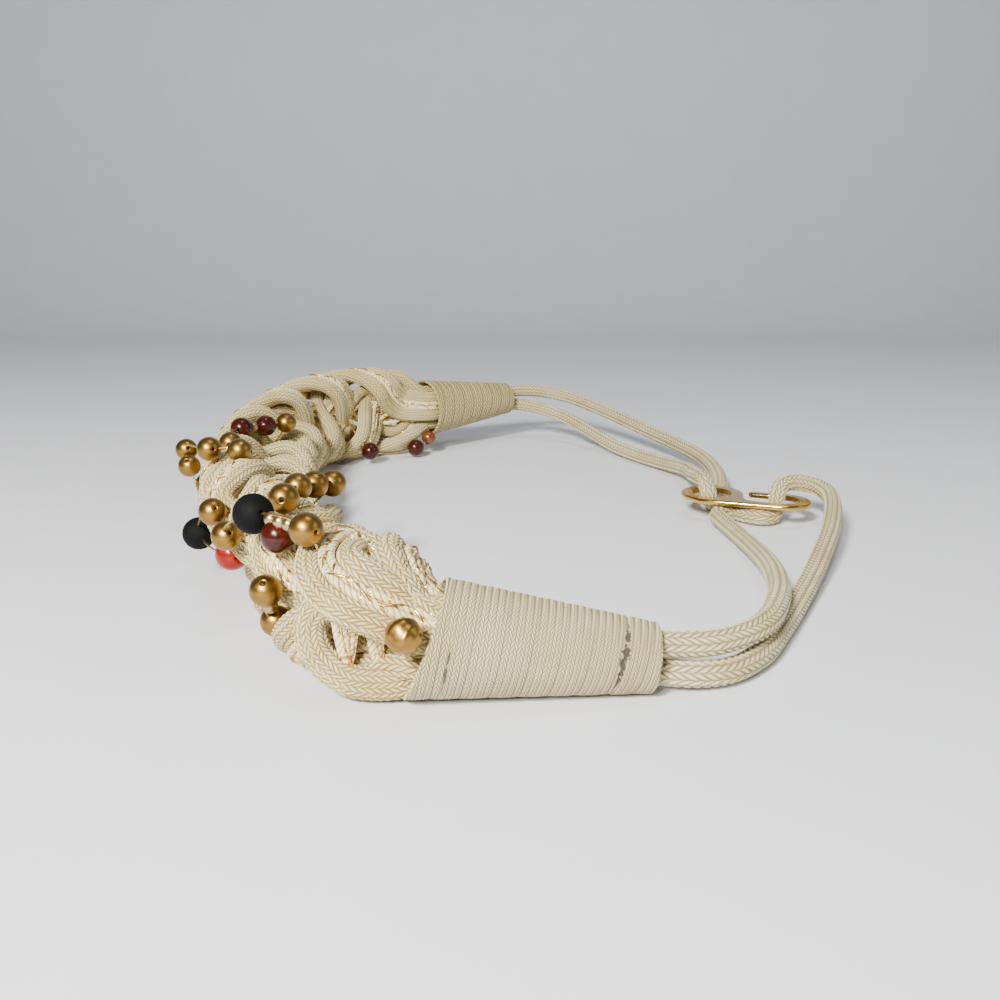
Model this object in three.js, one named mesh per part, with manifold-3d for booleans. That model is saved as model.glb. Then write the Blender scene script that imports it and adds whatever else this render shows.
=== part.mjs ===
// Rope belt: a plaited cord front with beads, two wound cones, two cord bights and a metal hook.
// Millimetres, +Z up. The belt lies closed on a surface at z = 0, with its plaited front
// towards -Y, the hook towards +Y, and one wound cone at each end along X. The tables below
// are in the belt's own plan, and the whole belt is moved over the origin at the end.
import * as THREE from 'three';
import { mergeVertices } from 'three/addons/utils/BufferGeometryUtils.js';
import Module from 'manifold-3d';

// Clearances
const gap = 0.3; // room kept between pieces that touch on the real belt

// Cords
const cord_diameter = 6; // braided cord of the plait and of the two bights
const cord_sides = 8;
const bight_steps = 80; // steps along a bight

// Plait
const plait_turns = 11 / 3; // how often a strand weaves from edge to edge and back, in thirds
const first_phase = 50; // degrees of its weave at which the first strand leaves the near cone
const mouth_turn = 5; // degrees that a strand lies back from its phase in a mouth
const plait_swing = 14.5; // how far a strand's middle swings up and down from the plait's middle
const plait_depth = 7.5; // how far a strand's middle swings out and in
const strand_spread = 4.4; // from a strand's middle to the middle of its two thick cords
const band_lean = 75; // degrees that a strand's flat side leans as it crosses the front or back
const strand_steps = 110; // sections along a strand
const strand_end_sides = 4; // flats around each rounded edge of a strand
const tangent_step = 0.4; // to either side of a point, for a strand's own direction
const mouth_reach = 15; // length over which the strands gather into a cone
const cross_start = 7; // how far outside a cone's mouth the strands begin to cross
const cross_ease = 16; // length over which the crossing comes up to its full rate
const mouth_ring = 6.4; // from a cone's axis to the middle of a strand in its mouth
const mouth_spread = 3.2; // a strand's spread in the mouth
const strand_seat = 7; // how far the strands reach into a cone

// Wound cones
const cone_length = 49;
const cone_big_diameter = 26.6;
const cone_small_diameter = 15.4;
const cone_wall = 1.5; // thickness of the flat cord wound round the cone
const cone_turns = 8; // turns of the winding, each one a shallow step on the outside
const turn_step = 0.25; // depth of the groove between turns
const cone_sides = 24;
const bight_seat = 9; // how far the bight's ends reach into a cone

// Hook
const hook_thickness = 1.8;
const hook_eye_radius = 11; // outside of the eye
const hook_hole_radius = 6.6;
const hook_arm_width = 4.2;
const hook_shank_offset = 12.6; // from the eye's middle to the shank's straight outer edge
const hook_reach = 34.5; // from the eye's middle to the far end of the bend
const hook_bend_radius = 9.6; // outside of the bend
const hook_tip_run = 11; // straight length of the return arm
const hook_arc_segments = 20;

// Beads
const bead_kinds = {
  gold: { diameter: 8 },
  black: { diameter: 10 },
  red: { diameter: 9.2 },
  garnet: { diameter: 8.4 },
  copper: { diameter: 7 },
};
const bead_columns = 10;
const bead_rows = 7;
const seat_step = 0.1; // how far a bead moves out at a time until it is clear
const sample_spacing = 0.8; // between the sections that beads are held clear of

// The plait's middle line, from the near cone's mouth round the front to the far cone's mouth.
// swing and depth are shares of plait_swing and plait_depth, and roll is how many degrees the
// plait's top edge leans outwards, so that its outer face turns down.
const plait_line = [
  { x: 147.0, y: -12.0, z: 13.3, swing: 0.8, depth: 1.0, roll: 0 },
  { x: 145.2, y: -22.0, z: 15.4, swing: 0.84, depth: 1.0, roll: 0 },
  { x: 138.0, y: -31.0, z: 16.6, swing: 0.9, depth: 1.0, roll: 4 },
  { x: 125.0, y: -38.5, z: 16.2, swing: 0.86, depth: 1.0, roll: 12 },
  { x: 108.0, y: -46.0, z: 16.2, swing: 0.88, depth: 0.96, roll: 26 },
  { x: 88.0, y: -55.0, z: 17.0, swing: 1.0, depth: 1.0, roll: 44 },
  { x: 68.0, y: -63.5, z: 16.8, swing: 1.06, depth: 1.0, roll: 60 },
  { x: 47.0, y: -70.0, z: 16.8, swing: 1.1, depth: 1.0, roll: 70 },
  { x: 24.0, y: -75.5, z: 16.4, swing: 1.12, depth: 1.0, roll: 74 },
  { x: -2.0, y: -81.0, z: 16.4, swing: 1.12, depth: 1.0, roll: 72 },
  { x: -30.0, y: -85.5, z: 17.0, swing: 1.12, depth: 1.0, roll: 62 },
  { x: -57.0, y: -85.5, z: 18.2, swing: 1.12, depth: 1.0, roll: 44 },
  { x: -82.0, y: -80.0, z: 19.8, swing: 1.14, depth: 1.0, roll: 24 },
  { x: -102.0, y: -68.5, z: 20.6, swing: 1.16, depth: 1.05, roll: 8 },
  { x: -116.0, y: -51.5, z: 20.6, swing: 1.12, depth: 1.0, roll: 0 },
  { x: -124.0, y: -32.0, z: 20.4, swing: 0.95, depth: 1.0, roll: 0 },
];

// Directions of the cones, from mouth to small end.
const near_cone_aim = { x: -2.0, y: 49.3, z: -5.7 };
const far_cone_aim = { x: -30.0, y: 37.5, z: 0.4 };

// The near bight's middle line: out of the near cone on top, to the hook, under its shank,
// up through its mouth, over its return arm and back along the surface.
const near_bight_line = [
  { x: 143.6, y: 47.0, z: 10.2 },
  { x: 139.8, y: 54.5, z: 9.9 },
  { x: 130.5, y: 64.0, z: 9.8 },
  { x: 113.0, y: 72.0, z: 9.7 },
  { x: 95.0, y: 76.5, z: 8.6 },
  { x: 76.0, y: 79.5, z: 6.6 },
  { x: 56.0, y: 81.2, z: 4.4 },
  { x: 36.0, y: 81.0, z: 3.2 },
  { x: 20.0, y: 79.6, z: 3.2 },
  { x: 10.0, y: 79.2, z: 3.2 },
  { x: 4.6, y: 81.6, z: 3.2 },
  { x: 4.2, y: 86.4, z: 3.2 },
  { x: 8.4, y: 90.0, z: 3.2 },
  { x: 11.2, y: 94.4, z: 3.2 },
  { x: 9.0, y: 98.6, z: 3.3 },
  { x: 6.0, y: 100.2, z: 6.6 },
  { x: 3.9, y: 101.2, z: 10.2 },
  { x: 1.0, y: 103.8, z: 12.4 },
  { x: -0.4, y: 108.4, z: 12.8 },
  { x: 2.8, y: 113.6, z: 12.5 },
  { x: 11.0, y: 116.0, z: 11.8 },
  { x: 22.0, y: 114.4, z: 10.8 },
  { x: 44.0, y: 107.0, z: 8.4 },
  { x: 72.0, y: 94.4, z: 5.4 },
  { x: 98.0, y: 81.6, z: 3.5 },
  { x: 117.0, y: 71.8, z: 3.2 },
  { x: 133.5, y: 62.4, z: 3.2 },
  { x: 142.4, y: 53.4, z: 3.4 },
  { x: 145.2, y: 46.0, z: 3.9 },
];

// The far bight's middle line: out of the far cone on top, down to the hook, under its eye,
// up through the hole, over the rim and back below the first run.
const far_bight_line = [
  { x: -159.4, y: 14.6, z: 24.0 },
  { x: -160.6, y: 24.0, z: 23.4 },
  { x: -156.4, y: 37.0, z: 21.4 },
  { x: -145.6, y: 49.0, z: 18.4 },
  { x: -128.0, y: 62.5, z: 14.4 },
  { x: -110.0, y: 73.5, z: 11.2 },
  { x: -91.0, y: 82.4, z: 9.2 },
  { x: -70.0, y: 88.2, z: 8.2 },
  { x: -48.0, y: 90.0, z: 7.0 },
  { x: -30.0, y: 88.6, z: 4.6 },
  { x: -18.0, y: 84.8, z: 3.2 },
  { x: -9.4, y: 80.8, z: 3.4 },
  { x: -4.8, y: 79.0, z: 7.4 },
  { x: -8.2, y: 77.8, z: 11.6 },
  { x: -16.0, y: 76.6, z: 11.9 },
  { x: -28.0, y: 77.4, z: 9.8 },
  { x: -44.0, y: 79.6, z: 7.4 },
  { x: -60.0, y: 79.8, z: 5.2 },
  { x: -76.0, y: 74.8, z: 3.8 },
  { x: -94.0, y: 66.4, z: 3.4 },
  { x: -112.0, y: 57.0, z: 4.6 },
  { x: -130.0, y: 47.4, z: 8.0 },
  { x: -145.0, y: 37.4, z: 12.0 },
  { x: -153.8, y: 25.6, z: 15.4 },
  { x: -156.6, y: 14.8, z: 17.2 },
];

// The hook lies flat on the cords that pass under it.
const hook_place = { x: -4.5, y: 80.0, z: 6.5, turn: 70.0 };

// Beads, in the order in which they are seated. share runs along the plait from the near cone,
// round is the angle about the plait's middle line: 0 points out, 90 up, 180 in. out is the
// distance from that line at which the bead sits.
const bead_seats = [
  { name: 'garnet_bead_01', kind: 'garnet', share: 0.115, round: 60, out: 17 },
  { name: 'gold_bead_01', kind: 'gold', share: 0.210, round: 40, out: 18 },
  { name: 'black_bead_01', kind: 'black', share: 0.140, round: 60, out: 21 },
  { name: 'gold_bead_02', kind: 'gold', share: 0.090, round: 70, out: 20 },
  { name: 'red_bead_01', kind: 'red', share: 0.250, round: 15, out: 13 },
  { name: 'black_bead_02', kind: 'black', share: 0.330, round: 35, out: 17 },
  { name: 'gold_bead_03', kind: 'gold', share: 0.275, round: 55, out: 18 },
  { name: 'gold_bead_04', kind: 'gold', share: 0.165, round: 85, out: 20 },
  { name: 'gold_bead_05', kind: 'gold', share: 0.230, round: 120, out: 17 },
  { name: 'gold_bead_06', kind: 'gold', share: 0.250, round: 145, out: 17 },
  { name: 'gold_bead_07', kind: 'gold', share: 0.265, round: 165, out: 17 },
  { name: 'gold_bead_08', kind: 'gold', share: 0.575, round: 55, out: 21 },
  { name: 'gold_bead_09', kind: 'gold', share: 0.505, round: 85, out: 23 },
  { name: 'gold_bead_10', kind: 'gold', share: 0.525, round: 95, out: 24 },
  { name: 'gold_bead_11', kind: 'gold', share: 0.395, round: 110, out: 22 },
  { name: 'gold_bead_12', kind: 'gold', share: 0.385, round: 130, out: 17 },
  { name: 'gold_bead_13', kind: 'gold', share: 0.470, round: 130, out: 17 },
  { name: 'garnet_bead_02', kind: 'garnet', share: 0.555, round: 140, out: 15 },
  { name: 'garnet_bead_03', kind: 'garnet', share: 0.580, round: 170, out: 13 },
  { name: 'gold_bead_14', kind: 'gold', share: 0.595, round: -165, out: 14 },
  { name: 'gold_bead_15', kind: 'gold', share: 0.800, round: 40, out: 22 },
  { name: 'gold_bead_16', kind: 'gold', share: 0.815, round: 50, out: 20 },
  { name: 'gold_bead_17', kind: 'gold', share: 0.840, round: 45, out: 18 },
  { name: 'garnet_bead_04', kind: 'garnet', share: 0.855, round: -130, out: 23 },
  { name: 'garnet_bead_05', kind: 'garnet', share: 0.955, round: -130, out: 20 },
  { name: 'copper_bead_01', kind: 'copper', share: 0.975, round: -125, out: 15 },
  { name: 'gold_bead_18', kind: 'gold', share: 0.120, round: 15, out: 12 },
  { name: 'gold_bead_19', kind: 'gold', share: 0.145, round: -35, out: 12 },
  { name: 'gold_bead_20', kind: 'gold', share: 0.030, round: 20, out: 15 },
  { name: 'gold_bead_21', kind: 'gold', share: 0.360, round: 5, out: 13 },
  { name: 'garnet_bead_06', kind: 'garnet', share: 0.405, round: 5, out: 12 },
  { name: 'gold_bead_22', kind: 'gold', share: 0.600, round: 5, out: 13 },
  { name: 'gold_bead_23', kind: 'gold', share: 0.645, round: 15, out: 11 },
  { name: 'gold_bead_24', kind: 'gold', share: 0.860, round: -10, out: 9 },
  { name: 'black_bead_03', kind: 'black', share: 0.900, round: 10, out: 10 },
];

// Colours and finish of the pieces
const looks = {
  plait: new THREE.MeshStandardMaterial({ color: 0xe3dcc4, roughness: 0.75, metalness: 0 }),
  cord: new THREE.MeshStandardMaterial({ color: 0xddd3b0, roughness: 0.7, metalness: 0 }),
  winding: new THREE.MeshStandardMaterial({ color: 0xe0d8bc, roughness: 0.7, metalness: 0 }),
  core: new THREE.MeshStandardMaterial({ color: 0xcfc5a4, roughness: 0.85, metalness: 0 }),
  gold: new THREE.MeshStandardMaterial({ color: 0x9a7434, roughness: 0.35, metalness: 0.85 }),
  black: new THREE.MeshStandardMaterial({ color: 0x0b0a0c, roughness: 0.5, metalness: 0 }),
  red: new THREE.MeshStandardMaterial({ color: 0xb3200f, roughness: 0.2, metalness: 0 }),
  garnet: new THREE.MeshStandardMaterial({ color: 0x5a120c, roughness: 0.25, metalness: 0 }),
  copper: new THREE.MeshStandardMaterial({ color: 0x7c3f1e, roughness: 0.3, metalness: 0.4 }),
  hook: new THREE.MeshStandardMaterial({ color: 0xb48a34, roughness: 0.2, metalness: 1 }),
};

const cord_radius = cord_diameter / 2;
const world_up = new THREE.Vector3(0, 0, 1);
const radians = THREE.MathUtils.degToRad;
const wasm = await Module();
wasm.setup();

const toVector = (row) => new THREE.Vector3(row.x, row.y, row.z);
const mix = (a, b, amount) => a + (b - a) * amount;

function namedMesh(name, geometry, material) {
  const mesh = new THREE.Mesh(geometry, material.clone());
  mesh.name = name;
  return mesh;
}

// Joining and cutting
function toSolid(geometry) {
  const bare = geometry.clone();
  bare.deleteAttribute('normal');
  bare.deleteAttribute('uv');
  const merged = mergeVertices(bare, 1e-4);
  return new wasm.Manifold(new wasm.Mesh({
    numProp: 3,
    vertProperties: new Float32Array(merged.attributes.position.array),
    triVerts: new Uint32Array(merged.index.array),
  }));
}

function toGeometry(solid) {
  const mesh = solid.getMesh();
  const geometry = new THREE.BufferGeometry();
  geometry.setAttribute('position', new THREE.BufferAttribute(mesh.vertProperties, 3));
  geometry.setIndex(new THREE.BufferAttribute(mesh.triVerts, 1));
  geometry.computeVertexNormals();
  return geometry;
}

// A closed body through rings of points, with a fan at each end.
function skinRings(rings) {
  const count = rings[0].length;
  const corners = [];
  const faces = [];
  for (const ring of rings) {
    for (const point of ring) corners.push(point.x, point.y, point.z);
  }
  for (let row = 0; row + 1 < rings.length; row += 1) {
    for (let side = 0; side < count; side += 1) {
      const next = (side + 1) % count;
      const a = row * count + side;
      const b = row * count + next;
      faces.push(a, b + count, b, a, a + count, b + count);
    }
  }
  const last = (rings.length - 1) * count;
  for (let side = 1; side + 1 < count; side += 1) {
    faces.push(0, side, side + 1);
    faces.push(last, last + side + 1, last + side);
  }
  const geometry = new THREE.BufferGeometry();
  geometry.setAttribute('position', new THREE.Float32BufferAttribute(corners, 3));
  geometry.setIndex(faces);
  geometry.computeVertexNormals();
  return geometry;
}

// Cones, as frames: an origin at the mouth and an axis towards the small end
function coneFrame(mouth, aim) {
  const origin = toVector(mouth);
  const axis = toVector(aim).normalize();
  const end = origin.clone().addScaledVector(axis, cone_length);
  return { origin, axis, end };
}

const near_cone = coneFrame(plait_line[0], near_cone_aim);
const far_cone = coneFrame(plait_line[plait_line.length - 1], far_cone_aim);

// The plait's middle line runs a little way into both mouths.
function plaitCurve() {
  const inside = (cone, share) => cone.origin.clone()
    .addScaledVector(cone.axis, strand_seat * share);
  const points = [
    inside(near_cone, 1),
    inside(near_cone, 0.5),
    ...plait_line.map(toVector),
    inside(far_cone, 0.5),
    inside(far_cone, 1),
  ];
  return new THREE.CatmullRomCurve3(points, false, 'centripetal');
}

const plait_curve = plaitCurve();
plait_curve.arcLengthDivisions = 1200;
const plait_length = plait_curve.getLength();

// A column of plait_line, read at a share of the plait's length.
function lineShare(column, share) {
  const rows = plait_line.length;
  const place = share * (rows - 1);
  const row = Math.min(Math.floor(place), rows - 2);
  return mix(plait_line[row][column], plait_line[row + 1][column], place - row);
}

// Middle point and cross directions of the plait at a share of its length.
function plaitFrame(share) {
  const middle = plait_curve.getPointAt(share);
  const along = plait_curve.getTangentAt(share);
  const level = new THREE.Vector3().crossVectors(world_up, along).normalize();
  const out = level.applyAxisAngle(along, -radians(lineShare('roll', share)));
  const up = new THREE.Vector3().crossVectors(along, out).normalize();
  return { middle, along, out, up };
}

// How far the crossing has come, from 0 to 1: it rests in the mouths and eases in and out.
function crossShare(share) {
  const eased = (from_end) => {
    const run = Math.max(from_end - strand_seat - cross_start, 0);
    const part = Math.min(run / cross_ease, 1);
    return cross_ease * (part ** 3 - part ** 4 / 2) + Math.max(run - cross_ease, 0);
  };
  const total = 2 * eased(plait_length / 2);
  const done = eased(Math.min(share, 1 - share) * plait_length) / total;
  return share < 0.5 ? done : 1 - done;
}

// Where one strand's middle lies in the plait's cross section, and which way its flat side faces.
// Up and down it follows a sine, out and in a sine of twice the rate, as in a three strand plait.
function strandPlace(strand, share) {
  const start = first_phase / 360 + strand / 3;
  const phase = 2 * Math.PI * (plait_turns * crossShare(share) + start);
  const from_end = Math.min(share, 1 - share) * plait_length;
  const open = THREE.MathUtils.smoothstep(from_end, strand_seat, strand_seat + mouth_reach);
  const end_phase = 2 * Math.PI * (share < 0.5 ? start : start + plait_turns);
  const mouth_angle = end_phase - radians(mouth_turn);
  const rise = plait_swing * lineShare('swing', share) * Math.sin(phase);
  const reach = plait_depth * lineShare('depth', share) * Math.sin(2 * phase);
  const facing = (angle) => radians(90 - band_lean * Math.cos(angle));
  const end_facing = facing(end_phase);
  const agrees = Math.cos(end_facing - mouth_angle) >= 0 ? 1 : -1;
  const normal_out = mix(agrees * Math.cos(mouth_angle), Math.cos(facing(phase)), open);
  const normal_up = mix(agrees * Math.sin(mouth_angle), Math.sin(facing(phase)), open);
  return {
    up: mix(mouth_ring * Math.sin(mouth_angle), rise, open),
    out: mix(mouth_ring * Math.cos(mouth_angle), reach, open),
    normal_out,
    normal_up,
    spread: mix(mouth_spread, strand_spread, open),
  };
}

function strandPoint(strand, share) {
  const frame = plaitFrame(share);
  const place = strandPlace(strand, share);
  return frame.middle.clone()
    .addScaledVector(frame.up, place.up)
    .addScaledVector(frame.out, place.out);
}

// A strand's section at a share: its middle, its flat side's direction and its width's direction.
function strandSection(strand, share) {
  const step = tangent_step / plait_length;
  const before = strandPoint(strand, Math.max(share - step, 0));
  const after = strandPoint(strand, Math.min(share + step, 1));
  const along = after.sub(before).normalize();
  const frame = plaitFrame(share);
  const place = strandPlace(strand, share);
  const flat = new THREE.Vector3()
    .addScaledVector(frame.out, place.normal_out)
    .addScaledVector(frame.up, place.normal_up);
  flat.addScaledVector(along, -flat.dot(along)).normalize();
  const wide = new THREE.Vector3().crossVectors(along, flat);
  return { middle: strandPoint(strand, share), flat, wide, spread: place.spread };
}

// A strand is a flat bundle: two thick cords side by side with thin ones between.
function makeStrand(strand) {
  const rings = [];
  for (let step = 0; step <= strand_steps; step += 1) {
    const section = strandSection(strand, step / strand_steps);
    const ring = [];
    for (const edge of [1, -1]) {
      for (let flat = 0; flat <= strand_end_sides; flat += 1) {
        const angle = radians(-90 + 180 * (flat / strand_end_sides));
        const across = edge * (section.spread + cord_radius * Math.cos(angle));
        ring.push(section.middle.clone()
          .addScaledVector(section.wide, across)
          .addScaledVector(section.flat, edge * cord_radius * Math.sin(angle)));
      }
    }
    rings.push(ring);
  }
  return namedMesh(`plait_strand_${strand + 1}`, skinRings(rings), looks.plait);
}

// A body of revolution about a cone's axis. Profile points are [radius, distance from the mouth].
function turnAbout(cone, profile, sides) {
  const points = profile.map(([radius, along]) => new THREE.Vector2(radius, along));
  const geometry = new THREE.LatheGeometry(points, sides);
  const turn = new THREE.Quaternion().setFromUnitVectors(new THREE.Vector3(0, 1, 0), cone.axis);
  geometry.applyQuaternion(turn);
  geometry.translate(cone.origin.x, cone.origin.y, cone.origin.z);
  return toGeometry(toSolid(geometry));
}

const coneRadius = (along) => mix(cone_big_diameter, cone_small_diameter, along / cone_length) / 2;

// The winding: a tapered sleeve, open at both ends, with a shallow groove between turns.
function makeWinding(name, cone) {
  const turn_width = cone_length / cone_turns;
  const outside = [];
  for (let turn = 0; turn < cone_turns; turn += 1) {
    const start = turn * turn_width;
    outside.push([coneRadius(start) - turn_step, start]);
    outside.push([coneRadius(start + turn_width / 2), start + turn_width / 2]);
  }
  outside.push([coneRadius(cone_length) - turn_step, cone_length]);
  const inside = [
    [coneRadius(cone_length) - cone_wall, cone_length],
    [coneRadius(0) - cone_wall - turn_step, 0],
    outside[0],
  ];
  return namedMesh(name, turnAbout(cone, [...outside, ...inside], cone_sides), looks.winding);
}

// The core: the gathered cord ends bound inside the winding.
function makeCore(name, cone) {
  const start = strand_seat + gap;
  const end = cone_length - bight_seat - gap;
  const inner = (along) => mix(
    coneRadius(0) - cone_wall - turn_step,
    coneRadius(cone_length) - cone_wall,
    along / cone_length,
  ) - gap;
  const profile = [[0, start], [inner(start), start], [inner(end), end], [0, end]];
  return namedMesh(name, turnAbout(cone, profile, cone_sides), looks.core);
}

// A bight's route: straight out of the cone, along its line and straight back in.
function bightCurve(cone, rows) {
  const half_pair = cord_radius + gap / 3;
  const side = new THREE.Vector3().crossVectors(cone.axis, world_up).normalize();
  const up = new THREE.Vector3().crossVectors(side, cone.axis).normalize();
  const seat = (along, rise) => cone.end.clone()
    .addScaledVector(cone.axis, along)
    .addScaledVector(up, rise);
  const points = [
    seat(-bight_seat, half_pair),
    seat(0, half_pair),
    ...rows.map(toVector),
    seat(0, -half_pair),
    seat(-bight_seat, -half_pair),
  ];
  return new THREE.CatmullRomCurve3(points, false, 'centripetal');
}

function makeBight(name, cone, rows) {
  const section = new THREE.Shape();
  for (let side = 0; side < cord_sides; side += 1) {
    const angle = (2 * Math.PI * (side + 0.5)) / cord_sides;
    const x = cord_radius * Math.cos(angle);
    const y = cord_radius * Math.sin(angle);
    if (side === 0) section.moveTo(x, y);
    else section.lineTo(x, y);
  }
  section.closePath();
  const geometry = new THREE.ExtrudeGeometry(section, {
    steps: bight_steps,
    bevelEnabled: false,
    extrudePath: bightCurve(cone, rows),
  });
  return namedMesh(name, toGeometry(toSolid(geometry)), looks.cord);
}

// The hook's outline lies in its own plane: u along the shank, v towards its open side.
function hookOutline() {
  const bend_u = hook_reach - hook_bend_radius;
  const bend_v = -hook_shank_offset + hook_bend_radius;
  const inner_radius = hook_bend_radius - hook_arm_width;
  const arm_inside = -hook_shank_offset + hook_arm_width;
  const tip_u = bend_u - hook_tip_run;
  const shape = new THREE.Shape();
  shape.moveTo(-2, -hook_shank_offset);
  shape.lineTo(bend_u, -hook_shank_offset);
  shape.absarc(bend_u, bend_v, hook_bend_radius, radians(-90), radians(90), false);
  shape.lineTo(tip_u, bend_v + hook_bend_radius - hook_arm_width * 0.15);
  shape.absarc(tip_u, bend_v + hook_bend_radius - hook_arm_width * 0.5, hook_arm_width * 0.35,
    radians(90), radians(270), false);
  shape.lineTo(bend_u, bend_v + inner_radius);
  shape.absarc(bend_u, bend_v, inner_radius, radians(90), radians(-90), true);
  shape.lineTo(hook_eye_radius, arm_inside + 0.6);
  shape.lineTo(hook_eye_radius * 0.85, 2);
  shape.lineTo(-2, 2);
  shape.closePath();
  return shape;
}

function makeHook() {
  const options = { depth: hook_thickness, bevelEnabled: false, curveSegments: hook_arc_segments };
  const arm = toSolid(new THREE.ExtrudeGeometry(hookOutline(), options));
  const disc = new THREE.Shape();
  disc.absarc(0, 0, hook_eye_radius, 0, 2 * Math.PI, false);
  const eye = toSolid(new THREE.ExtrudeGeometry(disc, options));
  const bore = new THREE.Shape();
  bore.absarc(0, 0, hook_hole_radius, 0, 2 * Math.PI, false);
  const cutter = new THREE.ExtrudeGeometry(bore, { ...options, depth: hook_thickness * 3 });
  cutter.translate(0, 0, -hook_thickness);
  const hook = namedMesh('hook', toGeometry(arm.add(eye).subtract(toSolid(cutter))), looks.hook);
  hook.position.set(hook_place.x, hook_place.y, hook_place.z);
  hook.rotation.z = radians(hook_place.turn);
  return hook;
}

// Cross sections of the strands, as segments between the middles of their two thick cords.
function strandSamples() {
  const samples = [];
  const count = Math.round(plait_length / sample_spacing);
  for (let strand = 0; strand < 3; strand += 1) {
    for (let step = 0; step <= count; step += 1) {
      const section = strandSection(strand, step / count);
      const reach = section.wide.clone().multiplyScalar(section.spread);
      samples.push({ a: section.middle.clone().sub(reach), b: section.middle.clone().add(reach) });
    }
  }
  return samples;
}

function segmentDistance(point, a, b) {
  const run = b.clone().sub(a);
  const share = THREE.MathUtils.clamp(point.clone().sub(a).dot(run) / run.lengthSq(), 0, 1);
  return point.distanceTo(a.clone().addScaledVector(run, share));
}

// Beads are seated one after another: each starts at its own distance and moves outwards until
// it is clear of the strands and of the beads that are already there.
function makeBeads() {
  const samples = strandSamples();
  const placed = [];
  const meshes = [];
  for (const seat of bead_seats) {
    const radius = bead_kinds[seat.kind].diameter / 2;
    const frame = plaitFrame(seat.share);
    const aim = new THREE.Vector3()
      .addScaledVector(frame.out, Math.cos(radians(seat.round)))
      .addScaledVector(frame.up, Math.sin(radians(seat.round)));
    const clearsStrands = (centre) => samples.every(
      (row) => segmentDistance(centre, row.a, row.b) > cord_radius + radius + gap,
    );
    const clearsBeads = (centre) => placed.every(
      (bead) => centre.distanceTo(bead.centre) > bead.radius + radius + gap,
    );
    const centre = frame.middle.clone().addScaledVector(aim, seat.out);
    while (!clearsStrands(centre) || !clearsBeads(centre)) centre.addScaledVector(aim, seat_step);
    placed.push({ centre, radius });
    const mesh = namedMesh(seat.name, new THREE.SphereGeometry(radius, bead_columns, bead_rows),
      looks[seat.kind]);
    mesh.position.copy(centre);
    meshes.push(mesh);
  }
  return meshes;
}

const belt = new THREE.Group();
belt.add(makeStrand(0), makeStrand(1), makeStrand(2));
belt.add(makeWinding('near_winding', near_cone), makeWinding('far_winding', far_cone));
belt.add(makeCore('near_core', near_cone), makeCore('far_core', far_cone));
belt.add(makeBight('near_bight', near_cone, near_bight_line));
belt.add(makeBight('far_bight', far_cone, far_bight_line));
belt.add(makeHook());
belt.add(...makeBeads());

// The origin lies on the surface, below the middle of the belt's box.
const box = new THREE.Box3().setFromObject(belt, true);
const middle = box.getCenter(new THREE.Vector3());
for (const mesh of belt.children) {
  mesh.position.sub(new THREE.Vector3(middle.x, middle.y, box.min.z));
}

export default belt;
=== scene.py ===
import math

import bpy
import numpy as np
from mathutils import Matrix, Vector
from mathutils.geometry import tessellate_polygon


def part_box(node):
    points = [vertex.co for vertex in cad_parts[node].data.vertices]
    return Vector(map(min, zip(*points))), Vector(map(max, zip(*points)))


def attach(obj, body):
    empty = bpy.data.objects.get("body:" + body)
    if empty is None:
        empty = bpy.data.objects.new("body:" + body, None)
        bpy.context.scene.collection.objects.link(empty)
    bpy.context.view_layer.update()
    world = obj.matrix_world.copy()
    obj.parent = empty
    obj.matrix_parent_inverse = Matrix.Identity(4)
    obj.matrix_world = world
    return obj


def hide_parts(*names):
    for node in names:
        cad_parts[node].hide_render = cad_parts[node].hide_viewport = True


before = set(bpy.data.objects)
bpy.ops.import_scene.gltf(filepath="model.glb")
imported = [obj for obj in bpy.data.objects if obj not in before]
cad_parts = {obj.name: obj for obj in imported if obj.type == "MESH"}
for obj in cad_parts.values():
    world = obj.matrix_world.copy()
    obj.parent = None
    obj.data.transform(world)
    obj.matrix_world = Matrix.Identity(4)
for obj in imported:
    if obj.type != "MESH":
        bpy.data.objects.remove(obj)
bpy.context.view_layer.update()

# Rope belt, lying closed on a surface: a plaited cord front with beads, two wound cones, two cord
# bights and a metal hook. Metres and degrees. The tables are in the belt's own plan, and
# plan_shift moves that plan into the frame, as the CAD part does.
plan_shift = np.array([-0.00076, -0.00535, 0.00017])
world_up = np.array([0.0, 0.0, 1.0])
gap = 0.0003  # between the CAD part's solids
steep = 0.9  # a unit direction that rises more than this counts as upright

# Camera
camera_place = (0.34416, -0.00162, 0.09217)
camera_pitch = 13.93
camera_lens = 36.0
camera_sensor = 36.0

# Thick braided cord
cord_radius = 0.003
cord_columns = 10
cord_stitch = 0.0021  # length of one stitch along the cord
fine_columns = 14  # the plait's cords are braided finer than the bights
fine_stitch = 0.0016
cord_relief = 0.00056  # how deep the grooves between stitches are
cord_sides = 44
cord_step = 0.0005  # between the rings of a cord's surface
stitch_lean = 0.62  # how far a stitch leans, in stitches, from a column's middle to its edge
end_power = 2.2  # how suddenly a stitch falls away to its ends
edge_power = 3.0  # how suddenly it falls away to its column's edges
edge_drop = 0.7  # how much lower it is at those edges, as a share of its height
stitch_fibres = 7.0  # fibres side by side in one stitch
stitch_bump = 0.0004
cord_sheen = 0.06
cord_patches = 60.0  # scale of the patches of colour on cord
speck_scale = 1400.0
stain_brown = (0.30, 0.14, 0.025)
stain_place = (0.148, -0.032, 0.012)  # where the brown stains are strongest
stain_core = 0.014  # they are at their full strength up to here from that place
stain_reach = 0.055  # and gone from here on

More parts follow.
